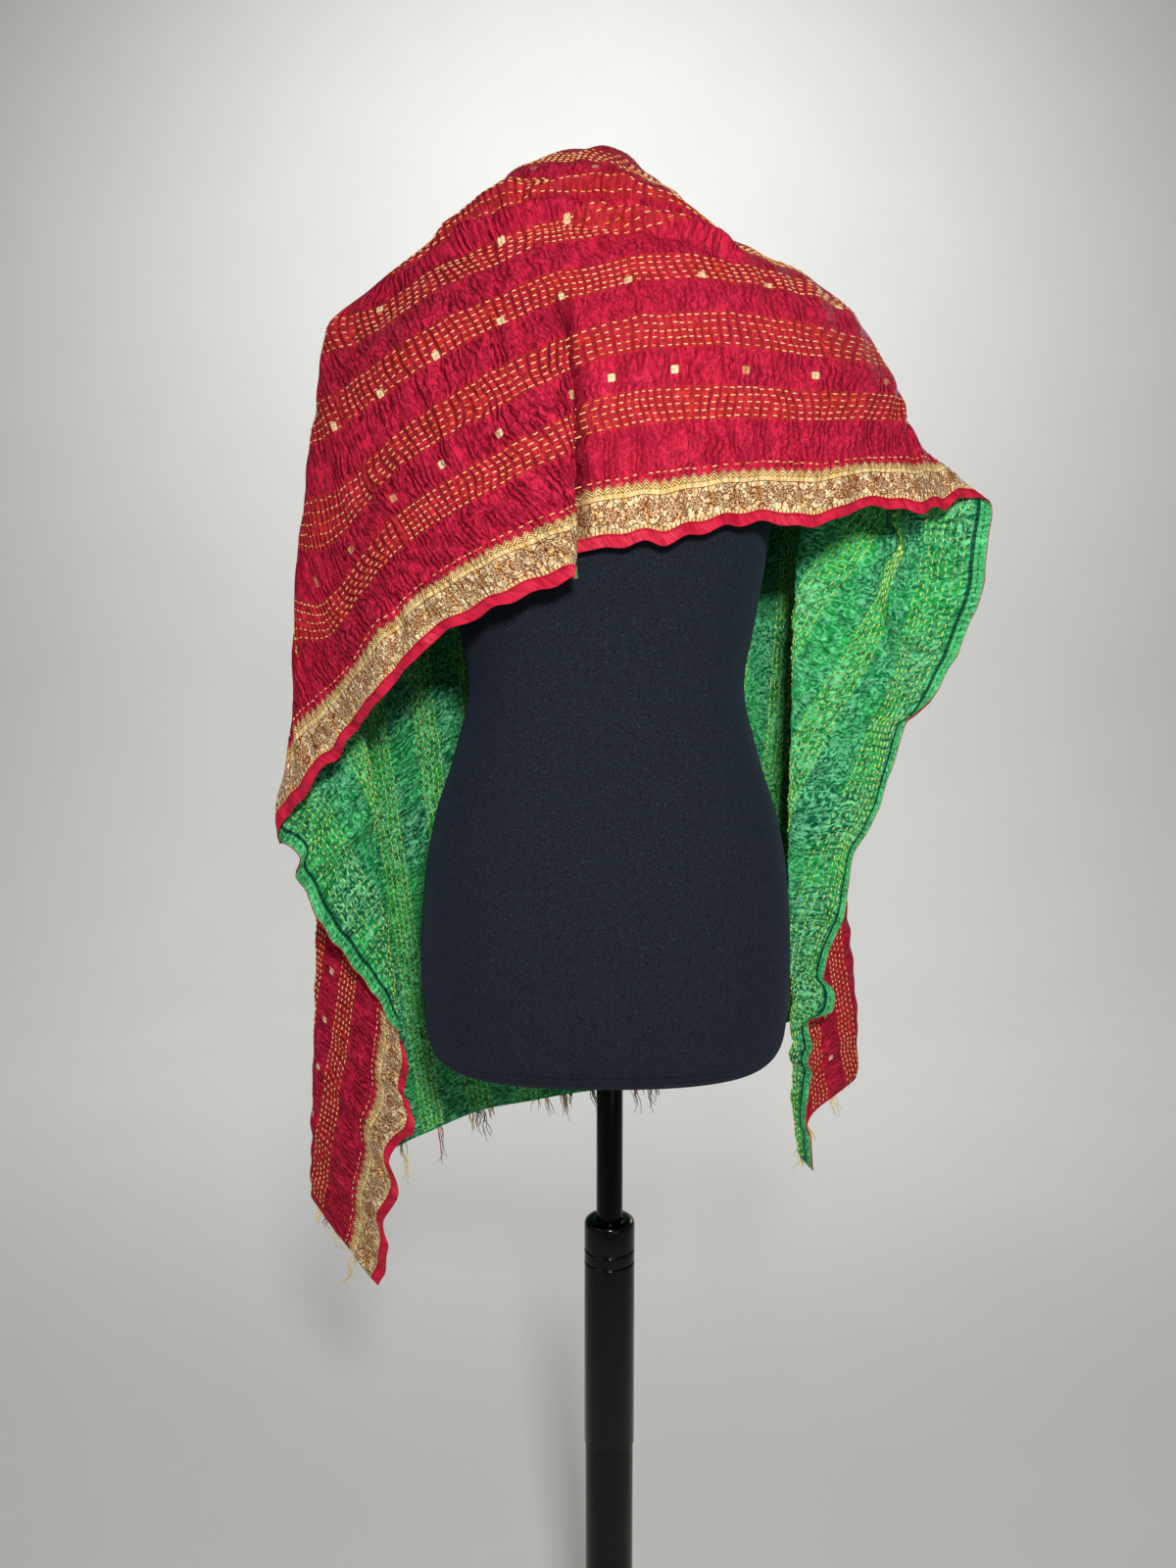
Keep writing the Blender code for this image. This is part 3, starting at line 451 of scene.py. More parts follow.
class Signal:
    """What a node gives out: a number, a place or a colour."""

    def __init__(self, finish, socket):
        self.finish, self.socket = finish, socket

    __add__ = step("ADD")
    __sub__ = step("SUBTRACT")
    __mul__ = step("MULTIPLY")
    __truediv__ = step("DIVIDE")
    __pow__ = step("POWER")
    __abs__ = step("ABSOLUTE")
    larger = step("MAXIMUM")
    root = step("SQRT")
    nearest = step("ROUND")
    cosine = step("COSINE")
    angle_to = step("ARCTAN2")
    to_and_fro = step("PINGPONG")

    def rise(self, low, high):
        """Zero below low, one above high, and a smooth step between. Swapped, it falls."""
        inputs = (("Value", self), ("From Min", low), ("From Max", high))
        return self.finish.node("ShaderNodeMapRange", inputs, interpolation_type="SMOOTHSTEP")

    def waves(self):
        """A cosine that tops out at each whole number."""
        return (self * (2 * math.pi)).cosine()

    def offset(self, start, pitch):
        """The signed distance to the nearest of many even places, and that place's number."""
        count = (self - start) / pitch
        nearest = count.nearest()
        return (count - nearest) * pitch, nearest

    def pick(self, first, second):
        """The first number where this is zero, and the second where it is one."""
        return first + self * (second - first)

    def between(self, first, second):
        """The same with two colours, each a signal or a code."""
        first, second = (colour(c) if isinstance(c, str) else c for c in (first, second))
        inputs = ((0, self), (6, first), (7, second))
        return self.finish.node("ShaderNodeMix", inputs, output=2, data_type="RGBA")

    def parts(self):
        """The three numbers of a place."""
        made = self.finish.add("ShaderNodeSeparateXYZ", ((0, self),))
        return [Signal(self.finish, socket) for socket in made.outputs]

    def stretched(self, *scales):
        """A place with each of its parts scaled. A third part that isn't given becomes zero."""
        inputs = ((0, self), (1, (*scales, 0.0)[:3]))
        return self.finish.node("ShaderNodeVectorMath", inputs, operation="MULTIPLY")

    def noise(self, *scales, detail=2.0, rough=0.5, twist=0.0):
        """Smooth chance, with about so many bumps to the metre each way."""
        inputs = (("Vector", self.stretched(*scales)), ("Scale", 1.0), ("Detail", detail),
                  ("Roughness", rough), ("Distortion", twist))
        return self.finish.node("ShaderNodeTexNoise", inputs, output="Fac")

    def cells(self, scale_x, scale_y, feature="F1"):
        """The distance to scattered points, or to the lines midway between them."""
        inputs = (("Vector", self.stretched(scale_x, scale_y)), ("Scale", 1.0), ("Randomness", 1.0))
        return self.finish.node("ShaderNodeTexVoronoi", inputs, output="Distance", feature=feature)


class Finish:
    """A material that is built from short sums of signals."""

    def __init__(self, name, roughness, **settings):
        self.material = bpy.data.materials.new(name)
        self.material.use_nodes = True
        self.tree = self.material.node_tree
        self.shader = self.tree.nodes["Principled BSDF"]
        self.shader.inputs["Roughness"].default_value = roughness
        for socket, value in settings.items():
            self.shader.inputs[socket.replace("_", " ")].default_value = value

    def join(self, value, socket):
        """Gives a socket a signal or a plain value."""
        if isinstance(value, Signal):
            self.tree.links.new(value.socket, socket)
        else:
            socket.default_value = value

    def add(self, kind, inputs=(), **settings):
        """Adds a node. Inputs are pairs of a socket's name or number and what it gets."""
        made = self.tree.nodes.new(kind)
        for setting, value in settings.items():
            setattr(made, setting, value)
        for socket, value in inputs:
            self.join(value, made.inputs[socket])
        return made

    def node(self, kind, inputs=(), output=0, **settings):
        """Adds a node and hands back one of its outputs as a signal."""
        return Signal(self, self.add(kind, inputs, **settings).outputs[output])

    def vector(self, x, y, z=0.0):
        return self.node("ShaderNodeCombineXYZ", enumerate((x, y, z)))

    def cloth_place(self):
        """The place along, the place across, the pucker count, and all three as one place."""
        where = self.node("ShaderNodeAttribute", output="Vector", attribute_name=CLOTH_PLACE)
        return *where.parts(), where

    def object_place(self):
        """The place in the object's own space."""
        return self.node("ShaderNodeTexCoord", output="Object")

    def paint(self, base, height, depth, roughness=None):
        """Gives the shader a colour, a relief of the given depth, and a roughness."""
        self.join(base, self.shader.inputs["Base Color"])
        inputs = (("Height", height), ("Distance", depth), ("Strength", 1.0))
        self.join(self.node("ShaderNodeBump", inputs), self.shader.inputs["Normal"])
        if roughness is not None:
            self.join(roughness, self.shader.inputs["Roughness"])
        return self.material

# %% [markdown]
# ## Red silk
#
# The red face is a thin, slightly slubby silk. It looks pinker on the plain stripes and warmer on
# the stitched bands, where the yellow thread shines through. Between two stitches of a band a
# straight furrow crosses all its rows. On the plain stripes the furrows wander, break off and
# start again, and fine crinkles run between them. Furrows and crinkles are darkened with painted
# shade. Small woven flowers in gold thread sit between the bands, each row shifted by half a step.

# %% Red silk ground
FIELD_RED = "C8223E"
BAND_RED = "C83034"
# The colour of painted shade in the furrows and inside the pleat.
SHADE_RED = "48000C"
RELIEF_DEPTH = 0.0021
FURROW_PITCH = 0.0056


def in_band(t):
    """One inside a band of stitch rows and zero outside it."""
    off, _ = t.offset(BAND_START, BAND_PITCH)
    return abs(off).rise(0.0150, 0.0120) * t.rise(0.080, 0.084)


def puckers(s, t, count, where):
    """Relief of the puckers, and the mask of painted shade at the bottom of each furrow. In the
    bands a furrow is a cosine of the pucker count raised to a power. On the stripes it is a cosine
    of the place along, bent by noise. Fine crinkles are the middle lines of a noise, and are shaded
    too. All come and go with a slow noise, and are deeper left of the pleat."""
    banded = in_band(t)
    crest = count.waves() * 0.5 + 0.5
    strength = where.noise(34.0, 20.0).rise(0.22, 0.50)
    bend = where.noise(64.0, 46.0, detail=4.0, rough=0.62)
    broken = where.noise(80.0, 52.0, rough=0.6).rise(0.34, 0.56)
    straight = crest ** 3.0 * banded * (broken * 0.55 + 0.20)
    loose = (s * (1.0 / FURROW_PITCH) + bend * 3.6).waves() * 0.5 + 0.5
    loose = loose * broken * (banded * -0.65 + 1.0)
    fine = where.noise(210.0, 105.0, detail=3.0, rough=0.6, twist=0.6)
    fine = abs(fine - 0.5).rise(0.060, 0.012)
    left = s.rise(0.02, -0.06) * 0.25 + 0.75
    furrow_shade = straight.larger(loose ** 2.8) * (strength * 0.6 + 0.4)
    weave = where.noise(1500.0, 900.0, detail=1.0)
    height = straight * -0.9 + loose * -1.0 + fine * -0.28 + weave * 0.12
    return height * left, furrow_shade.larger(fine * 0.56) * left


def pleat_shade(s, t):
    """Painted shade inside the front pleat: how far in a place is, fading out toward the neck."""
    return abs(s + 0.008).rise(0.016, 0.004) * t.rise(0.24, 0.15)


def red_ground(finish):
    """Colour and relief of plain red silk, which the border shares, darkened with painted shade in
    the furrows and inside the pleat."""
    s, t, count, where = finish.cloth_place()
    height, furrow_shade = puckers(s, t, count, where)
    base = in_band(t).between(FIELD_RED, BAND_RED)
    patches = where.noise(26.0, 26.0, detail=3.0).rise(0.35, 0.70)
    base = (patches * 0.30).between(base, "D02A50")
    threads = where.noise(90.0, 1300.0, rough=0.7).rise(0.5, 0.8)
    base = (threads * 0.22).between(base, "E85070")
    # Painted shade in the furrows and crinkles.
    base = (furrow_shade * 0.92).between(base, SHADE_RED)
    # Painted shade inside the pleat.
    base = (pleat_shade(s, t) * 0.85).between(base, SHADE_RED)
    return base, height, furrow_shade


# %% Woven gold flowers between the bands
FLOWER_START = (0.0215, 0.131)
FLOWER_PITCH = (0.057, 0.0765)
FLOWER_RADIUS = 0.0036


def polar(off_s, off_t):
    """The distance from a point, and the direction as an angle."""
    return (off_s ** 2.0 + off_t ** 2.0).root(), off_t.angle_to(off_s)


def woven_flower(finish, s, t):
    """A mask of four-petalled flowers: the radius is a circle's with four notches. Odd rows are
    shifted by half a step along. Also gives a number that is different on each flower."""
    off_t, row = t.offset(FLOWER_START[1], FLOWER_PITCH[1])
    shift = row.to_and_fro(1.0) * (FLOWER_PITCH[0] / 2)
    off_s, number = (s - shift).offset(FLOWER_START[0], FLOWER_PITCH[0])
    radius, angle = polar(off_s, off_t)
    edge = (angle * 4.0).cosine() * (-0.12 * FLOWER_RADIUS) + FLOWER_RADIUS
    inside = (edge - radius).rise(-0.0003, 0.0006)
    heart = radius.rise(0.0004, 0.0010) * 0.5 + 0.5
    chance = finish.node("ShaderNodeTexWhiteNoise", ((0, finish.vector(number, row)),),
                         output="Value", noise_dimensions="3D")
    return inside * heart * t.rise(0.110, 0.112), chance


def make_red_silk():
    """Red silk with its woven flowers."""
    finish = Finish("red stitched silk", 0.42, Specular_IOR_Level=0.10,
                    Specular_Tint=colour("FFA0A0"))
    base, height, furrow_shade = red_ground(finish)
    s, t, _, where = finish.cloth_place()
    flower, chance = woven_flower(finish, s, t)
    gold = chance.rise(0.15, 0.45).between("D89068", "FFE8B4")
    ribs = where.noise(1100.0, 2200.0, detail=1.0).rise(0.35, 0.6)
    gold = (ribs * -0.4 + 0.4).between(gold, "B86040")
    base = flower.between(base, gold)
    return finish.paint(base, height + flower * 0.35, RELIEF_DEPTH, furrow_shade * 0.2 + 0.42)


red_silk = make_red_silk()
print("made", red_silk.name)

# %% [markdown]
# ## Gold border
#
# Beside the hem runs a band of brocade, three and a half centimetres wide: a beaded line, a dense
# field of flowers and leaves in gold thread on a rust ground, a plain gold stripe, and a row of
# little diamonds that point into the red. Woven flowers of this kind are a common pattern, and
# this one is drawn afresh from circles, petals and cells. The gold is a pale silk-wrapped thread,
# so it is drawn as a bright cloth with a yellow shine rather than as bare metal.

# %% Border
BEADS_TOP = 0.0136
BLOOM_MIDDLE = 0.0252
BLOOM_PITCH = 0.0180
STRIPE = (0.0370, 0.0412)
DIAMOND_PITCH = 0.0082
DIAMOND_TOP = 0.0495

# %% Flowers of the border: shift in steps, place over the middle, petals, size, ring width
BLOOMS = (
    (0.0, 0.0, 8, 0.0058, 0.0021),
    (0.5, 0.0062, 5, 0.0030, 0.0016),
    (0.5, -0.0062, 5, 0.0030, 0.0016),
)


def ring_of_petals(off_s, off_t, petals, size, ring):
    """A flower: rings of gold whose radius swells and shrinks with the petals. The relief is a
    cosine of the radius, so the rings are separated by dark lines."""
    radius, angle = polar(off_s, off_t)
    lobes = (angle * float(petals)).cosine()
    swollen = radius * (lobes * 0.16 + 1.0)
    rings = (swollen / ring).waves().rise(-0.75, 0.1)
    return swollen.rise(size, size * 0.93), rings * lobes.rise(-0.97, -0.55)


def border_pattern(s, t, where):
    """Where gold thread shows in the border: beads, two sizes of flower on a ground of leaves,
    a plain stripe, and diamonds."""
    bent = where.noise(200.0, 200.0, detail=1.0)
    cells = where.cells(165.0, 150.0, "DISTANCE_TO_EDGE")
    leaves = (bent * 0.10 + cells).rise(0.055, 0.105)
    sprig = (where.cells(90.0, 90.0) * 2.4).waves().rise(-0.99, -0.75)
    field = leaves * sprig
    for shift, up, petals, size, ring in BLOOMS:
        off_s, _ = s.offset(shift * BLOOM_PITCH, BLOOM_PITCH)
        inside, drawn = ring_of_petals(off_s, t - (BLOOM_MIDDLE + up), petals, size, ring)
        field = inside.pick(field, drawn)
    bead_off, _ = s.offset(0.0, 0.0034)
    in_beads = t.rise(BEADS_TOP, BEADS_TOP - 0.0003)
    field = in_beads.pick(field, abs(bead_off).rise(0.0015, 0.0011))
    in_stripe = t.rise(STRIPE[0], STRIPE[0] + 0.0002)
    field = in_stripe.pick(field, abs(t - (STRIPE[0] + 0.0002)).rise(0.0003, 0.0006))
    off_s, _ = s.offset(0.0, DIAMOND_PITCH)
    from_tip = (t + abs(off_s) * 0.95) * -1.0 + DIAMOND_TOP
    lines = (from_tip / 0.0027).waves().rise(-0.8, -0.2)
    above = t.rise(STRIPE[1], STRIPE[1] + 0.0002)
    in_diamond = from_tip.rise(-0.0001, 0.0002)
    field = above.pick(field, lines * in_diamond)
    return field, above * (in_diamond - 1.0) + 1.0, in_stripe.larger(in_beads)


def make_gold_border():
    """Brocade: gold thread over a rust ground, with red silk past the tips of its diamonds."""
    finish = Finish("gold brocade border", 0.36, Specular_IOR_Level=0.45,
                    Specular_Tint=colour("FFC880"))
    base, height, furrow_shade = red_ground(finish)
    s, t, _, where = finish.cloth_place()
    drawn, ground, plain = border_pattern(s, t, where)
    shade = where.noise(150.0, 60.0).rise(0.30, 0.56)
    gold = shade.between("FFC070", "FFECBC")
    gold = (plain * 0.6).between(gold, "FFDC88")
    brocade = drawn.between(shade.between("6A200A", "A04C20"), gold)
    threads = where.noise(1900.0, 700.0, detail=1.0).rise(0.6, 0.35)
    brocade = (threads * 0.08).between(brocade, "9A5028")
    streaks = where.noise(95.0, 50.0, rough=0.6).rise(0.47, 0.35)
    brocade = (streaks * 0.36).between(brocade, "8A4018")
    # Painted shade: the brocade is darkened in the furrows and inside the pleat.
    dark = (furrow_shade * 0.45).larger(pleat_shade(s, t) * 0.75)
    base = ground.between(base, dark.between(brocade, "501C08"))
    return finish.paint(base, height * 0.75 + drawn * ground * 0.30, RELIEF_DEPTH)


gold_border = make_gold_border()
print("made", gold_border.name)

# %% [markdown]
# ## Green printed silk
#
# The reverse is a fine green silk with a printed pattern of curls and dots, paler lines on a
# deeper ground that drifts from leaf green to teal. It is a scatter pattern of a common kind,
# made here from rings round scattered points. The same puckers show through from the front,
# since both faces are stitched together, with painted shade in their furrows. Along the hem runs
# the seam, a dark line with painted shade in its ditch.

# %% Green silk
HEM_DITCH = 0.0114
HEM_STITCH_ROW = 0.0062
HEM_STITCH_PITCH = 0.0072


def make_green_silk():
    """Green print: rings round scattered points in two sizes, broken up by noise, over a ground
    that drifts in tone, with a turned edge, a row of hem stitches, the seam's dark line with
    painted shade in its ditch, and painted shade in the furrows."""
    finish = Finish("green printed silk", 0.5, Specular_IOR_Level=0.28,
                    Specular_Tint=colour("A0FFC0"))
    s, t, count, where = finish.cloth_place()
    height, furrow_shade = puckers(s, t, count, where)
    drift = where.noise(11.0, 17.0, detail=3.0, rough=0.6)
    base = drift.rise(0.36, 0.62).between("08784E", "24B452")
    pale = where.noise(16.0, 9.0).rise(0.50, 0.68)
    base = (pale * 0.45).between(base, "52D078")
    base = (in_band(t) * 0.60).between(base, "3CB840")
    bend = where.noise(120.0, 120.0, detail=1.0)
    curls = (where.cells(52.0, 52.0, "SMOOTH_F1") * 5.4 + bend * 1.9).waves().rise(0.25, 0.70)
    dots = (where.cells(120.0, 120.0) * 2.6 + bend * 1.2).waves().rise(0.10, 0.55)
    print_lines = (curls * drift.rise(0.62, 0.42)).larger(dots * 0.75)
    base = (print_lines * 0.74).between(base, "8CF8B0")
    gaps = where.cells(210.0, 210.0).rise(0.50, 0.85)
    base = (gaps * 0.60).between(base, "044030")
    near_hem = t.rise(0.0114, 0.0100)
    base = (near_hem * 0.60).between(base, "62E68C")
    from_stitch, _ = s.offset(0.0, HEM_STITCH_PITCH)
    in_row = abs(t - HEM_STITCH_ROW).rise(0.0008, 0.0005)
    dash = abs(from_stitch).rise(0.0022, 0.0018) * in_row
    ditch = abs(t - HEM_DITCH).rise(0.0019, 0.0009)
    # Dark hem stitches, and the seam: a dark line of its own, with painted shade in its ditch.
    base = (ditch.larger(dash * 0.8) * 0.9).between(base, "07352F")
    # Painted shade in the furrows.
    base = (furrow_shade * 0.55).between(base, "04331E")
    return finish.paint(base, height + print_lines * 0.10 + ditch * -0.9, RELIEF_DEPTH)


green_silk = make_green_silk()
print("made", green_silk.name)

# %% [markdown]
# ## Plain hem silk and thread
#
# The hem is a strip of plain red silk, turned over the edge and stitched down, so it has small
# slanting tucks and a soft shine. The stitching thread is pale yellow cotton: two strands twisted
# together, which shows as a fine slanting relief on each stitch.

# %% Hem silk, stitching thread and frayed thread


def make_hem_silk():
    """Plain red silk with slanting tucks, drawn as long noise across the strip, darker in their
    hollows as painted shade.
    """
    finish = Finish("plain hem silk", 0.40, Specular_IOR_Level=0.28,
                    Specular_Tint=colour("FFA0A0"))
    s, t, _, where = finish.cloth_place()
    tucks = finish.vector(s * 170.0 + t * 90.0, t * 60.0).noise(1.0, 1.0, rough=0.6)
    weave = where.noise(1600.0, 1600.0, detail=1.0)
    # The tucks are darker in their hollows, where the colour follows the relief: painted shade.
    base = tucks.rise(0.30, 0.62).between("A8102E", "CC2440")
    stitched = abs(t - 0.0094).rise(0.0007, 0.0003)
    base = (stitched * 0.35).between(base, "7A0E22")
    return finish.paint(base, tucks + weave * 0.10 + stitched * -0.35, 0.0013)


def make_thread(name, code, dark_code):
    """Twisted thread: diagonal bands of light and dark, a third of a millimetre apart."""
    finish = Finish(name, 0.55, Specular_IOR_Level=0.35)
    s, t, _, where = finish.cloth_place()
    ply = (s * 1500.0 + t * 1500.0).waves() * 0.5
    base = ply.rise(-0.48, -0.1).between(dark_code, code)
    tone = where.noise(60.0, 60.0).rise(0.5, 0.8)
    return finish.paint((tone * 0.3).between(base, dark_code), ply, 0.0001)


def make_frayed_thread():
    """Loose threads in the silk's own colours, one colour to a thread, much alike in a clump."""
    finish = Finish("frayed silk threads", 0.6, Sheen_Weight=0.3)
    chance = finish.node("ShaderNodeAttribute", output="Fac", attribute_name="thread_chance")
    base = chance.rise(0.14, 0.16).between("B02444", "2A8A50")
    base = chance.rise(0.34, 0.36).between(base, "28204A")
    base = chance.rise(0.54, 0.56).between(base, "F0D070")
    fuzz = finish.object_place().noise(2400.0, 2400.0, 700.0)
    return finish.paint((fuzz * 0.22).between(base, "FFF0C0"), fuzz, 0.0002)


hem_silk = make_hem_silk()
yellow_thread = make_thread("yellow stitching thread", "FFD890", "EC9848")
reverse_thread = make_thread("stitching thread on the reverse", "ECFA78", "A8D048")
frayed_thread = make_frayed_thread()
print("made", hem_silk.name, yellow_thread.name, reverse_thread.name, frayed_thread.name)

# %% [markdown]
# ## Cloth with two faces
#
# The cloth is drawn in three stretches that meet at the shoulders, so that no mesh grows too
# heavy. Each is a closed wall: the grid moved half a thickness out of the red face, the same grid
# moved half a thickness out of the green face, and a rim. The normals come from the whole drape,
# not from each stretch, and that is why the joins don't show.

# %% Mesh helpers
CLOTH_MESH = 0.0030
FALL_MESH = 0.0044
ACROSS_MESH = 0.0028


def add_mesh(name, points, faces, materials, material_index=None, normals=None):
    """A smooth mesh object from arrays of points and of faces, all with the same corner count."""
    mesh = bpy.data.meshes.new(name)
    corners = faces.shape[-1]
    points = points.reshape(-1, 3)
    mesh.vertices.add(len(points))
    mesh.vertices.foreach_set("co", points.astype(np.float32).ravel())
    mesh.loops.add(faces.size)
    mesh.loops.foreach_set("vertex_index", faces.astype(np.int32).ravel())
    mesh.polygons.add(faces.size // corners)
    mesh.polygons.foreach_set("loop_start", np.arange(0, faces.size, corners, dtype=np.int32))
    for finish in materials:
        mesh.materials.append(finish)
    if material_index is not None:
        mesh.polygons.foreach_set("material_index", material_index.astype(np.int32))
    mesh.update(calc_edges=True)
    mesh.validate()
    mesh.shade_smooth()
    if normals is not None:
        mesh.normals_split_custom_set_from_vertices(normals.reshape(-1, 3))
    made = bpy.data.objects.new(name, mesh)
    bpy.context.scene.collection.objects.link(made)
    return made


def set_places(piece, s, t):
    """Writes each point's place on the cloth and its pucker count."""
    places = np.stack([s, t, pucker_count(s, t)], axis=-1)
    layer = piece.data.attributes.new(CLOTH_PLACE, "FLOAT_VECTOR", "POINT")
    layer.data.foreach_set("vector", places.astype(np.float32).ravel())


def evenly(start, end, pitch):
    """Places from start to end, as near to the pitch as whole steps allow."""
    return np.linspace(start, end, max(1, round((end - start) / pitch)) + 1)


def numbered(*shape):
    """The indices of points that lie in rows."""
    return np.arange(math.prod(shape)).reshape(shape)


def grid_faces(rows, columns):
    """Quads of a grid of points, turned so that they face out of the red side."""
    index = numbered(rows, columns)
    corners = (index[:-1, :-1], index[1:, :-1], index[1:, 1:], index[:-1, 1:])
    return np.stack(corners, axis=-1).reshape(-1, 4)


def tube_faces(index):
    """Quads between each ring of points and the next. The rings are the last axis but one."""
    ahead = np.roll(index, -1, axis=-1)
    corners = (index[..., :-1, :], ahead[..., :-1, :], ahead[..., 1:, :], index[..., 1:, :])
    return np.stack(corners, axis=-1).reshape(-1, 4)


def in_halves(quads):
    """Each quad as two triangles."""
    return np.concatenate([quads[:, [0, 1, 2]], quads[:, [0, 2, 3]]])


def ring_round(rows, columns):
    """Indices of a grid's outer points, once round, starting along its first side."""
    index = numbered(rows, columns)
    return np.concatenate([index[:-1, 0], index[-1, :-1], index[:0:-1, -1], index[0, :0:-1]])


# %% Three stretches of cloth
BORDER_TOP = 0.0504
HEM_OVERLAP = 0.0006
STRETCHES = (
    ("left_fall", "left_hem", LEFT_END, LEFT_SPLIT, FALL_MESH),
    ("front_panel", "front_hem", LEFT_SPLIT, RIGHT_SPLIT, CLOTH_MESH),
    ("right_fall", "right_hem", RIGHT_SPLIT, RIGHT_END, FALL_MESH),
)


def add_cloth(name, start, end, pitch):
    """A wall of cloth over one stretch: the grid plus and minus half a thickness along its
    normals, closed by a rim. The border has its own material up to one line of the grid."""
    along = evenly(start, end, pitch)
    across = np.concatenate([evenly(HEM_WIDTH - HEM_OVERLAP, BORDER_TOP, ACROSS_MESH),
                             evenly(BORDER_TOP, SHAWL_WIDTH, ACROSS_MESH)[1:]])
    s, t = np.meshgrid(along, across, indexing="ij")
    middle = read_grid(drape, s, t)
    out = unit(read_grid(facing, s, t))
    red_faces = grid_faces(*s.shape)
    green_faces = red_faces[:, ::-1] + s.size
    ring = ring_round(*s.shape)
    ahead = np.roll(ring, -1)
    rim = np.stack([ahead, ring, ring + s.size, ahead + s.size], axis=1)
    in_border = np.tile(across[1:] <= BORDER_TOP + 1e-9, len(along) - 1)
    index = np.concatenate([np.where(in_border, 1, 0), np.full(len(green_faces), 2),
                            np.full(len(rim), 0)])
    piece = add_mesh(name, np.stack([middle + CLOTH_HALF * out, middle - CLOTH_HALF * out]),
                     np.concatenate([red_faces, green_faces, rim]),
                     (red_silk, gold_border, green_silk), index, np.stack([out, -out]))
    set_places(piece, np.stack([s, s]), np.stack([t, t]))
    return piece


cloth = {}
for node, _, start, end, pitch in STRETCHES:
    cloth[node] = add_cloth("silk_" + node, start, end, pitch)
    print(cloth[node].name, len(cloth[node].data.polygons), "faces")

# %% [markdown]
# ## Rolled hem
#
# A turned hem is thicker than the cloth and ends in a round edge. Its section is a flat loop:
# out along the red side, round the edge in a half circle, and back along the green side. The loop
# is carried along the whole length of each stretch, a little over the edge of the cloth.

# %% Hem
HEM_HALF = 0.00085
FLAT_STEPS = 6
EDGE_STEPS = 4


def hem_section():
    """The loop round a hem: places across, heights over the middle of the cloth, and how far its
    normal leans over the edge."""
    flat = np.linspace(HEM_WIDTH, HEM_HALF, FLAT_STEPS)
    turn = np.linspace(math.pi / 2, -math.pi / 2, EDGE_STEPS + 1)[1:-1]
    level, upright = np.full(FLAT_STEPS, HEM_HALF), np.zeros(FLAT_STEPS)
    across = np.concatenate([flat, HEM_HALF - HEM_HALF * np.cos(turn), flat[::-1]])
    height = np.concatenate([level, HEM_HALF * np.sin(turn), -level])
    return across, height, np.concatenate([upright, -np.cos(turn), upright])


def add_hem(name, start, end, pitch):
    """The hem's loop carried along a stretch, closed at both ends."""
    across, height, lean = hem_section()
    s, t = np.meshgrid(evenly(start, end, pitch), across, indexing="ij")
    middle = read_grid(drape, s, t)
    out = unit(read_grid(facing, s, t))
    across_way = unit(read_grid(drape, s, t + STEP) - middle)
    normals = unit(out * (height / HEM_HALF)[:, None] + across_way * lean[:, None])
    rows, columns = s.shape
    index = numbered(rows, columns)
    caps = []
    for line, turn in ((index[0], 1), (index[-1], -1)):
        pairs = np.stack([line[:columns // 2], line[::-1][:columns // 2]], axis=1)
        caps.append(np.concatenate([pairs[:-1], pairs[1:, ::-1]], axis=1)[:, ::turn])
    green_side = np.tile(np.arange(columns) >= columns - FLAT_STEPS, rows - 1)
    material_index = np.concatenate([np.where(green_side, 1, 0), np.zeros(sum(map(len, caps)))])
    piece = add_mesh(name, middle + out * height[:, None],
                     np.concatenate([tube_faces(index), *caps]), (hem_silk, green_silk),
                     material_index, normals)
    set_places(piece, s, t)
    return piece


hems = {}
for _, node, start, end, pitch in STRETCHES:
    hems[node] = add_hem("rolled_" + node, start, end, pitch)
    print(hems[node].name, len(hems[node].data.polygons), "faces")

# %% [markdown]
# ## Running stitches
#
# Forty-one rows of running stitch hold the layers together: eight bands of five, and a lone row
# beside the border. Six more hold the border down, where their thread is lost in the gold, so
# they are drawn on the reverse alone. On the red face each stitch is about four millimetres long,
# and on the reverse the thread shows as dashes in between. A stitch could be painted on, but a
# real one lies on top of the cloth and throws a tiny shadow, so each is a small bar of sixteen
# faces. They start where the pucker count reaches a half, which puts the furrows between them.

# %% Stitches
BORDER_ROWS = (0.0185, 0.0245, 0.0305, 0.0365, 0.0425, 0.0480)
STITCH_LENGTH = 0.0041
REVERSE_LENGTH = 0.0044
STITCH_WIDTH = 0.00115
STITCH_HEIGHT = 0.00060
BLUNT_SHARE = 0.74
STITCH_JITTER = 0.0003
MISSING_SHARE = 0.012
POINTS_IN_BAR = 10
FACES_IN_BAR = 16


def row_places():
    """Places across of all the rows."""
    offsets = (np.arange(ROWS_IN_BAND) - (ROWS_IN_BAND - 1) / 2) * ROW_PITCH
    bands = BAND_START + BAND_PITCH * np.arange(BAND_COUNT)
    return np.append((bands[:, None] + offsets).ravel(), LONE_ROW)


def stitch_places(row, start, end, phase, draw):
    """Places along one row where the pucker count is a whole number plus the phase."""
    s = np.arange(start, end, 0.0008)
    count = pucker_count(s, np.full(len(s), row))
    wanted = np.arange(math.ceil(count[0] - phase), math.floor(count[-1] - phase) + 1) + phase
    found = np.interp(wanted, count, s)
    return found[draw.random(len(found)) > MISSING_SHARE]


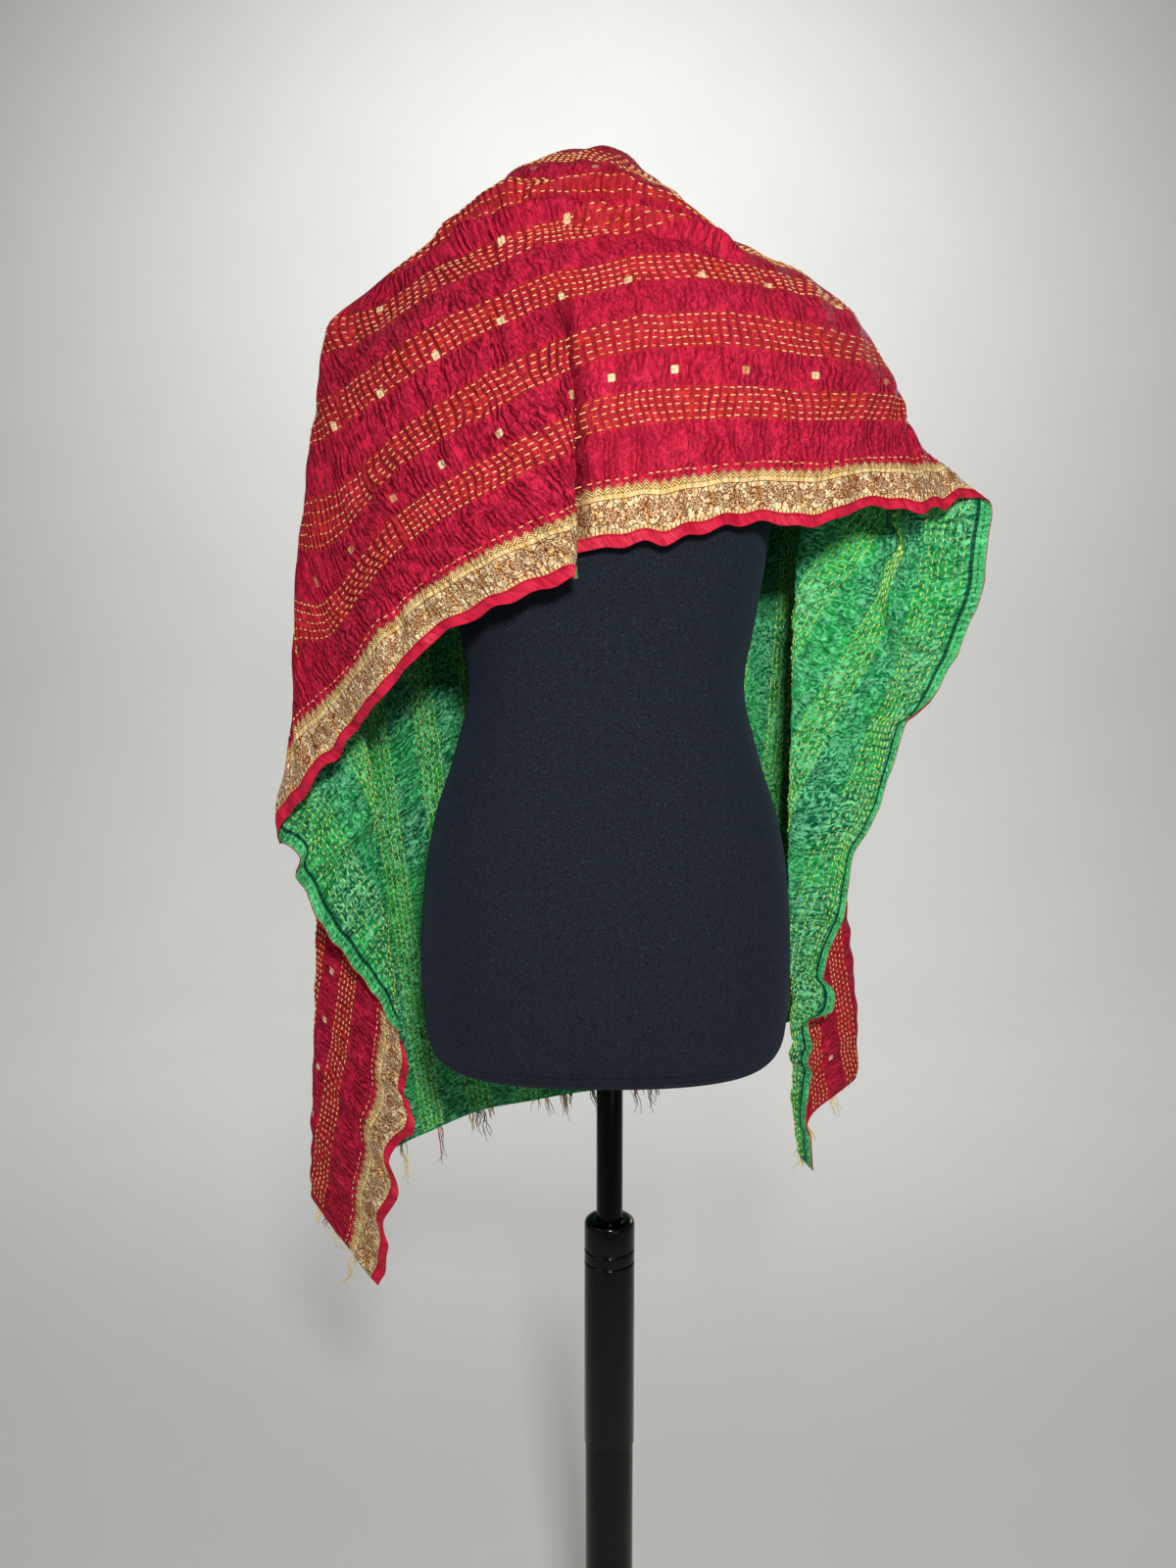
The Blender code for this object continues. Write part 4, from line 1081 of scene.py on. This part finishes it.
def bars(s, t, side, length, draw):
    """A bar of ten points and sixteen faces at each place: a ring of four points toward each
    end, and an end point where the thread dips into the cloth."""
    slant = draw.normal(0.0, 0.05, len(s))
    long = length * draw.uniform(0.9, 1.1, len(s)) / 2
    centre = read_grid(drape, s, t)
    out = unit(read_grid(facing, s, t) * side)
    one_end = read_grid(drape, s - long, t - slant * long)
    other_end = read_grid(drape, s + long, t + slant * long)
    way = other_end - one_end
    beside = unit(np.cross(out, way)) * STITCH_WIDTH / 2
    lift = out * STITCH_HEIGHT
    points = [one_end + out * CLOTH_HALF * 0.7, other_end + out * CLOTH_HALF * 0.7]
    for share in (-BLUNT_SHARE, BLUNT_SHARE):
        ring = centre + way * share / 2 + out * CLOTH_HALF
        points += [ring + beside + 0.2 * lift, ring + lift, ring - beside + 0.2 * lift,
                   ring - 0.4 * lift]
    around = ((2, 3), (3, 4), (4, 5), (5, 2))
    template = [(0, b, a) for a, b in around] + [(1, a + 4, b + 4) for a, b in around]
    template += [(a, b, b + 4) for a, b in around] + [(a, b + 4, a + 4) for a, b in around]
    faces = np.array(template)[None] + POINTS_IN_BAR * np.arange(len(s))[:, None, None]
    return np.stack(points, axis=1).reshape(-1, 3), faces.reshape(-1, 3)


def add_stitches(name, start, end, seed):
    """All the stitches of one stretch, on both faces, as one mesh."""
    draw = np.random.default_rng(seed)
    blocks = []
    count = 0
    reverse_rows = np.append(row_places(), BORDER_ROWS)
    for side, phase, length, rows in ((1, 0.5, STITCH_LENGTH, row_places()),
                                      (-1, 0.0, REVERSE_LENGTH, reverse_rows)):
        found = [stitch_places(row, start, end, phase, draw) for row in rows]
        s = np.concatenate(found)
        t = np.repeat(rows, [len(places) for places in found])
        s += draw.normal(0.0, STITCH_JITTER, len(s))
        wander = 0.0006 * wrinkles(s, t, 21, 6, (4, 12), (0, 3))
        t += draw.normal(0.0, STITCH_JITTER, len(t)) + wander
        points, faces = bars(s, t, side, length, draw)
        on_reverse = np.full(len(faces), side < 0)
        blocks.append((points, faces + count, on_reverse, np.repeat(s, POINTS_IN_BAR),
                       np.repeat(t, POINTS_IN_BAR)))
        count += len(points)
    points, faces, index, s, t = map(np.concatenate, zip(*blocks))
    piece = add_mesh(name, points, faces, (yellow_thread, reverse_thread), index)
    set_places(piece, s, t)
    return piece


stitches = {}
for seed, (node, _, start, end, _) in enumerate(STRETCHES):
    stitches[node] = add_stitches("stitches_" + node, start + 0.004, end - 0.002, 31 + seed)
    print(stitches[node].name, len(stitches[node].data.polygons) // FACES_IN_BAR, "stitches")

# %% [markdown]
# ## Frayed ends
#
# Both ends of the silk are raw, and their threads have worked loose. Each is a thin tube of three
# sides that leaves the edge in the cloth's own direction, bends down under its weight and
# wanders a little. They come away in clumps of five, two dozen clumps to each end.

# %% Fringe
CLUMPS_PER_END = 24
THREADS_IN_CLUMP = 5
THREAD_RADIUS = 0.00065
THREAD_LONGEST = 0.044
THREAD_SHORTEST = 0.004
POINTS_ALONG_THREAD = 9


def add_fringe(name, end, outwards, seed):
    """Threads from one end: a start on the edge, an outward push that dies away, a fall that
    grows with the square of the length, and a slow wander."""
    draw = np.random.default_rng(seed)
    count = CLUMPS_PER_END * THREADS_IN_CLUMP
    clumps = np.sort(draw.uniform(0.004, SHAWL_WIDTH - 0.004, CLUMPS_PER_END))
    t = np.repeat(clumps, THREADS_IN_CLUMP) + draw.uniform(-0.003, 0.003, count)
    s = np.full(count, end)
    root = read_grid(drape, s, t)
    way = unit(root - read_grid(drape, s - outwards * 0.004, t))
    length = np.repeat(draw.uniform(0.3, 1.0, CLUMPS_PER_END) ** 1.5, THREADS_IN_CLUMP)
    length = THREAD_LONGEST * length * draw.uniform(0.45, 1.0, count)
    length = length[:, None, None] + THREAD_SHORTEST
    share = np.linspace(0, 1, POINTS_ALONG_THREAD)[None, :, None]
    push = way[:, None] * (share - 0.45 * share ** 2) * 0.8
    fall = np.array([0.0, 0.0, -1.0]) * (0.30 * share + 0.45 * share ** 2)
    wander = np.repeat(draw.uniform(-0.3, 0.3, (CLUMPS_PER_END, 1, 3)), THREADS_IN_CLUMP, 0)
    wander = (wander + draw.uniform(-0.2, 0.2, (count, 1, 3))) * share
    curl = draw.uniform(-0.12, 0.12, (count, 1, 3)) * np.sin(share * draw.uniform(4, 9))
    path = root[:, None] - way[:, None] * 0.001 + length * (push + fall + wander + curl)
    tangent = np.gradient(path, axis=1)
    side = unit(np.cross(tangent, [0.3, 0.9, 0.2]))
    up = unit(np.cross(side, tangent))
    thin = THREAD_RADIUS * (1.0 - 0.55 * share)
    turns = np.arange(3) * 2 * math.pi / 3
    rings = [path + thin * (side * math.cos(a) + up * math.sin(a)) for a in turns]
    index = numbered(count, POINTS_ALONG_THREAD, 3)
    faces = [in_halves(tube_faces(index)), index[:, 0, ::-1], index[:, -1]]
    piece = add_mesh(name, np.stack(rings, axis=2), np.concatenate(faces), (frayed_thread,))
    chance = np.repeat(draw.random(CLUMPS_PER_END), THREADS_IN_CLUMP)
    chance = np.clip(chance + draw.uniform(-0.2, 0.2, count), 0.0, 1.0)
    chance = np.repeat(chance, index[0].size)
    layer = piece.data.attributes.new("thread_chance", "FLOAT", "POINT")
    layer.data.foreach_set("value", chance.astype(np.float32))
    return piece


fringes = {
    "left_fringe": add_fringe("frayed_left_end", LEFT_END, -1, 41),
    "right_fringe": add_fringe("frayed_right_end", RIGHT_END, 1, 42),
}
print("threads", 2 * CLUMPS_PER_END * THREADS_IN_CLUMP)

# %% [markdown]
# ## The dress form
#
# The form is a padded shell under a black jersey cover. Its sections are rounded, squarer than an
# ellipse and shallower in front than behind, so a short table of rings describes it, and a smooth
# curve runs up through them. The cover is drawn tight and turned under at the bottom, where two
# rows of stitching hold its hem.

# %% Rings of the form, from the bottom up: height, half width, depth to the front and back
FORM_SQUARENESS = 2.4
FORM_SHIFT_X = -0.004
FORM_AROUND = 160
FORM_UP = 190
TURNED_UNDER = 3
ROWS_TURNED_UNDER = 15
FORM_RINGS = (
    (0.812, 0.125, 0.066, 0.072), (0.814, 0.140, 0.082, 0.090), (0.822, 0.154, 0.096, 0.104),
    (0.842, 0.1655, 0.104, 0.115), (0.900, 0.1705, 0.108, 0.125), (0.945, 0.170, 0.108, 0.126),
    (1.000, 0.1655, 0.104, 0.120), (1.050, 0.156, 0.098, 0.108), (1.100, 0.140, 0.092, 0.094),
    (1.165, 0.1255, 0.088, 0.082), (1.220, 0.134, 0.095, 0.085), (1.270, 0.142, 0.108, 0.092),
    (1.330, 0.150, 0.124, 0.098), (1.380, 0.157, 0.124, 0.102), (1.430, 0.170, 0.098, 0.102),
    (1.462, 0.180, 0.074, 0.094), (1.488, 0.170, 0.056, 0.080), (1.510, 0.138, 0.044, 0.070),
    (1.530, 0.098, 0.036, 0.066), (1.552, 0.066, 0.030, 0.064), (1.580, 0.050, 0.027, 0.060),
    (1.595, 0.044, 0.022, 0.054), (1.600, 0.034, 0.014, 0.046),
)


# %% Form surface


def form_surface():
    """A loft. Up it goes a smooth curve through the rings, with more rows where it is turned
    under. Around it goes a rounded box: the cosine and sine, each raised to a power below one,
    times the half width and the depth."""
    table = np.array(FORM_RINGS)
    under = np.linspace(0, TURNED_UNDER, ROWS_TURNED_UNDER + 1)[:-1]
    above = np.linspace(TURNED_UNDER, len(table) - 1, FORM_UP - ROWS_TURNED_UNDER)
    at = np.concatenate([under, above])
    heights, widths, fronts, backs = curve_through(np.arange(len(table)), table, at).T
    angle = np.arange(FORM_AROUND) * 2 * math.pi / FORM_AROUND
    power = 2 / FORM_SQUARENESS
    side = np.sign(np.cos(angle)) * np.abs(np.cos(angle)) ** power
    depth = np.sign(np.sin(angle)) * np.abs(np.sin(angle)) ** power
    reach = np.where(depth < 0, fronts[:, None], backs[:, None])
    x = FORM_SHIFT_X + widths[:, None] * side
    return np.stack([x, reach * depth, np.repeat(heights[:, None], FORM_AROUND, axis=1)], axis=-1)


def closed_rings(rings):
    """Faces of a stack of rings, listed upwards and anticlockwise, with a fan to a point in the
    middle of the first ring and of the last."""
    index = numbered(*rings.shape[:2])
    ahead = np.roll(index, -1, axis=1)
    low = np.stack([ahead[0], index[0], np.full(len(index[0]), index.size)], axis=1)
    high = np.stack([index[-1], ahead[-1], np.full(len(index[0]), index.size + 1)], axis=1)
    middles = [rings[0].mean(axis=0), rings[-1].mean(axis=0)]
    points = np.concatenate([rings.reshape(-1, 3), middles])
    return points, np.concatenate([in_halves(tube_faces(index)), low, high])


# %% Jersey
JERSEY_SEAMS = (0.8245, 0.8300)


def make_jersey():
    """Black jersey: fine upright ribs across rows of loops, a little lint, and two rows of
    stitching near the bottom."""
    finish = Finish("black cotton jersey", 0.88, Sheen_Weight=0.10, Sheen_Roughness=0.5,
                    Sheen_Tint=colour("7088B0"), Specular_IOR_Level=0.25)
    place = finish.object_place()
    x, y, z = place.parts()
    ribs = (y.angle_to(x) * 92.0).waves() * 0.5
    loops = (z * 900.0).waves() * 0.5
    grain = place.noise(900.0, 900.0, 900.0, rough=0.6)
    lint = place.noise(300.0, 300.0, 300.0).rise(0.66, 0.74)
    base = grain.rise(0.35, 0.68).between("05080E", "1E2834")
    base = (lint * 0.25).between(base, "4A5462")
    low_seam, high_seam = (abs(z - height).rise(0.0009, 0.0003) for height in JERSEY_SEAMS)
    seam = low_seam.larger(high_seam)
    base = (seam * 0.8).between(base, "05070A")
    height = grain * 0.6 + ribs * 0.25 + loops * 0.2 + seam * -1.6
    return finish.paint(base, height, 0.0005)


jersey = make_jersey()
dress_form = add_mesh("jersey_dress_form", *closed_rings(form_surface()), (jersey,))
dress_form.data.set_sharp_from_angle(angle=math.radians(50))
print(dress_form.name, len(dress_form.data.polygons), "faces")

# %% [markdown]
# ## The stand
#
# A round weighted base carries a fixed sleeve, and a thinner tube slides in it and is held by a
# clamp collar. All are turned parts, so each is a profile of corners carried round the upright
# axis, with a small round on every corner: sharp corners never catch the light the way painted
# steel does. The finish is black gloss enamel with faint ripples and wiping marks.

# %% Turned parts
TURN_STEPS = 96
BASE_RADIUS = 0.180
BASE_HEIGHT = 0.012
SLEEVE_RADIUS = 0.0230
SLEEVE_BORE = 0.0210
COLLAR_RADIUS = 0.0240
COLLAR_BOTTOM = 0.437
COLLAR_TOP = 0.660
COLLAR_GROOVES = (0.6190, 0.6310)
GROOVE_DEPTH = 0.0012
GROOVE_HALF = 0.0015
TUBE_RADIUS = 0.0125
TUBE_PLAY = 0.0006
TUBE_BOTTOM = 0.250
TUBE_TOP = 0.8117
FIT_GAP = 0.0003


def rounded_corners(corners):
    """Points along a profile in which each corner is a curve: the weighted mean of the corner and
    two points a rounding away on its two sides, with weights that run from one to the other.
    Corners on the axis only give the others their direction, and are left out."""
    table = np.array(corners, float)
    spots, rounding = table[:, :2], table[:, 2]
    points = []
    for k, spot in enumerate(spots):
        if rounding[k] == 0:
            continue
        one = spot + unit(spots[k - 1] - spot) * rounding[k]
        two = spot + unit(spots[(k + 1) % len(spots)] - spot) * rounding[k]
        u = np.linspace(0, 1, 6)[:, None]
        points.extend((1 - u) ** 2 * one + 2 * u * (1 - u) * spot + u * u * two)
    return np.array(points)


def turned_part(name, corners, finish, hollow=False):
    """A profile (radius, height, rounding), listed upwards, carried round the upright axis. A
    solid part is closed by a point on the axis at each end, a hollow one joins on to itself."""
    if not hollow:
        corners = ((0.0, corners[0][1], 0.0), *corners, (0.0, corners[-1][1], 0.0))
    profile = rounded_corners(corners)
    angle = np.arange(TURN_STEPS) * 2 * math.pi / TURN_STEPS
    rings = np.stack([profile[:, :1] * np.cos(angle), profile[:, :1] * np.sin(angle),
                      np.repeat(profile[:, 1:], TURN_STEPS, axis=1)], axis=-1)
    if hollow:
        index = numbered(*rings.shape[:2])
        points, faces = rings, tube_faces(np.concatenate([index, index[:1]]))
    else:
        points, faces = closed_rings(rings)
    piece = add_mesh(name, points, faces, (finish,))
    piece.data.set_sharp_from_angle(angle=math.radians(35))
    return piece


# %% Enamel and the four parts of the stand


def make_enamel(name, roughness, metallic):
    """Black gloss enamel: a slow ripple in the coat, fine wiping marks, and dust that dulls it."""
    finish = Finish(name, roughness, Metallic=metallic, Specular_IOR_Level=0.22,
                    Coat_Weight=0.05, Coat_Roughness=0.08)
    place = finish.object_place()
    ripple = place.noise(60.0, 60.0, 25.0)
    wiped = place.noise(900.0, 900.0, 30.0, detail=3.0, rough=0.6)
    dust = place.noise(420.0, 420.0, 420.0, detail=3.0).rise(0.58, 0.72)
    base = (dust * 0.12).between("020203", "1E1E22")
    rough = wiped * 0.16 + dust * 0.18 + ripple * 0.10
    return finish.paint(base, ripple * 0.8 + wiped * 0.05, 0.0002, rough)


def groove(middle):
    """The three corners of a groove round the collar, listed upwards."""
    return ((COLLAR_RADIUS, middle - GROOVE_HALF, 0.0003),
            (COLLAR_RADIUS - GROOVE_DEPTH, middle, 0.0003),
            (COLLAR_RADIUS, middle + GROOVE_HALF, 0.0003))


enamel = make_enamel("black gloss enamel", 0.2, 0.0)
black_chrome = make_enamel("black tube finish", 0.18, 0.3)
stand = {
    "base_plate": turned_part("weighted_base", (
        (BASE_RADIUS, 0.0, 0.0010), (BASE_RADIUS, BASE_HEIGHT, 0.0035)), enamel),
    "outer_sleeve": turned_part("fixed_sleeve", (
        (SLEEVE_RADIUS, BASE_HEIGHT + FIT_GAP, 0.0005),
        (SLEEVE_RADIUS, COLLAR_BOTTOM - FIT_GAP, 0.0005),
        (SLEEVE_BORE, COLLAR_BOTTOM - FIT_GAP, 0.0004),
        (SLEEVE_BORE, BASE_HEIGHT + FIT_GAP, 0.0004)), enamel, hollow=True),
    "clamp_collar": turned_part("twist_collar", (
        (COLLAR_RADIUS, COLLAR_BOTTOM, 0.0006),
        *groove(COLLAR_GROOVES[0]), *groove(COLLAR_GROOVES[1]),
        (COLLAR_RADIUS, COLLAR_TOP, 0.0060),
        (TUBE_RADIUS + TUBE_PLAY, COLLAR_TOP, 0.0006),
        (TUBE_RADIUS + TUBE_PLAY, COLLAR_BOTTOM, 0.0006)), enamel, hollow=True),
    "height_tube": turned_part("sliding_tube", (
        (TUBE_RADIUS, TUBE_BOTTOM, 0.0010), (TUBE_RADIUS, TUBE_TOP, 0.0004)), black_chrome),
}
print("stand", [piece.name for piece in stand.values()])

# %% [markdown]
# ## What carries what
#
# Every piece rides on a body of the imported frame, and hides the plain solid that it stands for.
# The size that each of the three stretches was cut to is printed: together they are one cloth of
# 0.55 by 2.14 metres.

# %% Bodies, and the sizes of the cut cloth
BODY_OF_STAND = {"base_plate": "stand", "outer_sleeve": "stand", "clamp_collar": "stand",
                 "height_tube": "tube"}
for node, piece in stand.items():
    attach(piece, BODY_OF_STAND[node])
    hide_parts(node)

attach(dress_form, "dressed_form")
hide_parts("dress_form")

for pieces, slot in ((cloth, "shawl_silk"), (hems, "hem_silk"), (fringes, "fringe_threads")):
    for node, piece in pieces.items():
        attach(piece, "dressed_form")
        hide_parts(node)
for piece in stitches.values():
    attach(piece, "dressed_form")

for node, hem_node, start, end, _ in STRETCHES:
    print(node, "cut to", SHAWL_WIDTH, "by", round(end - start, 3))

# %% [markdown]
# ## Floor, backdrop and light
#
# The floor bends up into a pale wall far behind, and is a stage, not part of the object. One
# fairly small light beside the camera draws the crisp shadows between the leaves, as in the
# photograph. A low one opens the shadow under the hem, and a wide one and a dim sky open the rest
# a little. Two soft spots light the back of the shawl and wash the wall: a spot fades out all
# round, so neither leaves a line on the floor.

# %% Stage
STAGE_HALF = 7.0
STAGE_FRONT = -7.0
STAGE_BACK = 4.4
STAGE_TOP = 5.5
STAGE_BEND = 1.3
BEND_STEPS = 24


def make_plaster():
    """Pale plaster, faintly mottled."""
    finish = Finish("pale studio surface", 0.9)
    mottle = finish.object_place().noise(3.0, 3.0, 3.0, detail=3.0)
    return finish.paint(mottle.between("E8E8E4", "EEEEEB"), mottle, 0.0005)


def make_stage():
    """A floor that bends up into a wall: a straight run, a quarter circle and a straight rise."""
    turn = np.linspace(0, math.pi / 2, BEND_STEPS)
    depth = np.concatenate([[STAGE_FRONT], STAGE_BACK - STAGE_BEND * (1 - np.sin(turn)),
                            [STAGE_BACK]])
    height = np.concatenate([[0.0], STAGE_BEND * (1 - np.cos(turn)), [STAGE_TOP]])
    x, y = np.meshgrid((-STAGE_HALF, STAGE_HALF), depth, indexing="ij")
    points = np.stack([x, y, np.broadcast_to(height, x.shape)], axis=-1)
    return add_mesh("floor", points, grid_faces(2, len(depth)), (make_plaster(),))


make_stage()

# %% Lights: name, place, what it faces, power, and size, with a spot's opening between
SOFT_LIGHTS = (
    ("key", (0.10, -1.34, 1.56), (0.0, 0.0, 1.22), 18.8, 0.16),
    ("low_fill", (0.7, -1.5, 0.75), (0.15, 0.0, 1.0), 1.2, 0.8),
    ("left_fill", (-2.2, -1.6, 2.2), (0.0, 0.0, 1.3), 5.0, 1.6),
)
SPOTS = (
    ("back_fill", (2.2, 3.2, 2.5), (0.0, 0.0, 1.1), 110.0, 75, 0.9),
    ("wall_wash", (0.0, 0.9, 4.0), (0.0, 4.4, 1.9), 470.0, 140, 0.5),
)


def add_light(name, place, towards, power, kind="AREA"):
    """A light that faces a point."""
    lamp = bpy.data.lights.new(name, kind)
    lamp.energy = power
    made = bpy.data.objects.new(name, lamp)
    made.location = place
    away = np.array(place) - np.array(towards)
    flat = math.hypot(away[0], away[1])
    made.rotation_euler = (math.atan2(flat, away[2]), 0.0, math.atan2(away[0], -away[1]))
    bpy.context.scene.collection.objects.link(made)
    return lamp


for name, place, towards, power, size in SOFT_LIGHTS:
    add_light(name, place, towards, power).size = size

for name, place, towards, power, opening, size in SPOTS:
    spot = add_light(name, place, towards, power, "SPOT")
    spot.spot_size = math.radians(opening)
    spot.spot_blend = 1.0
    spot.shadow_soft_size = size

# %% Sky
sky = bpy.data.worlds.new("pale sky")
sky.use_nodes = True
sky.node_tree.nodes["Background"].inputs["Color"].default_value = colour("F2F3F5")
sky.node_tree.nodes["Background"].inputs["Strength"].default_value = 0.17
bpy.context.scene.world = sky
bpy.context.scene.view_settings.view_transform = "Standard"
print("lights and sky placed")
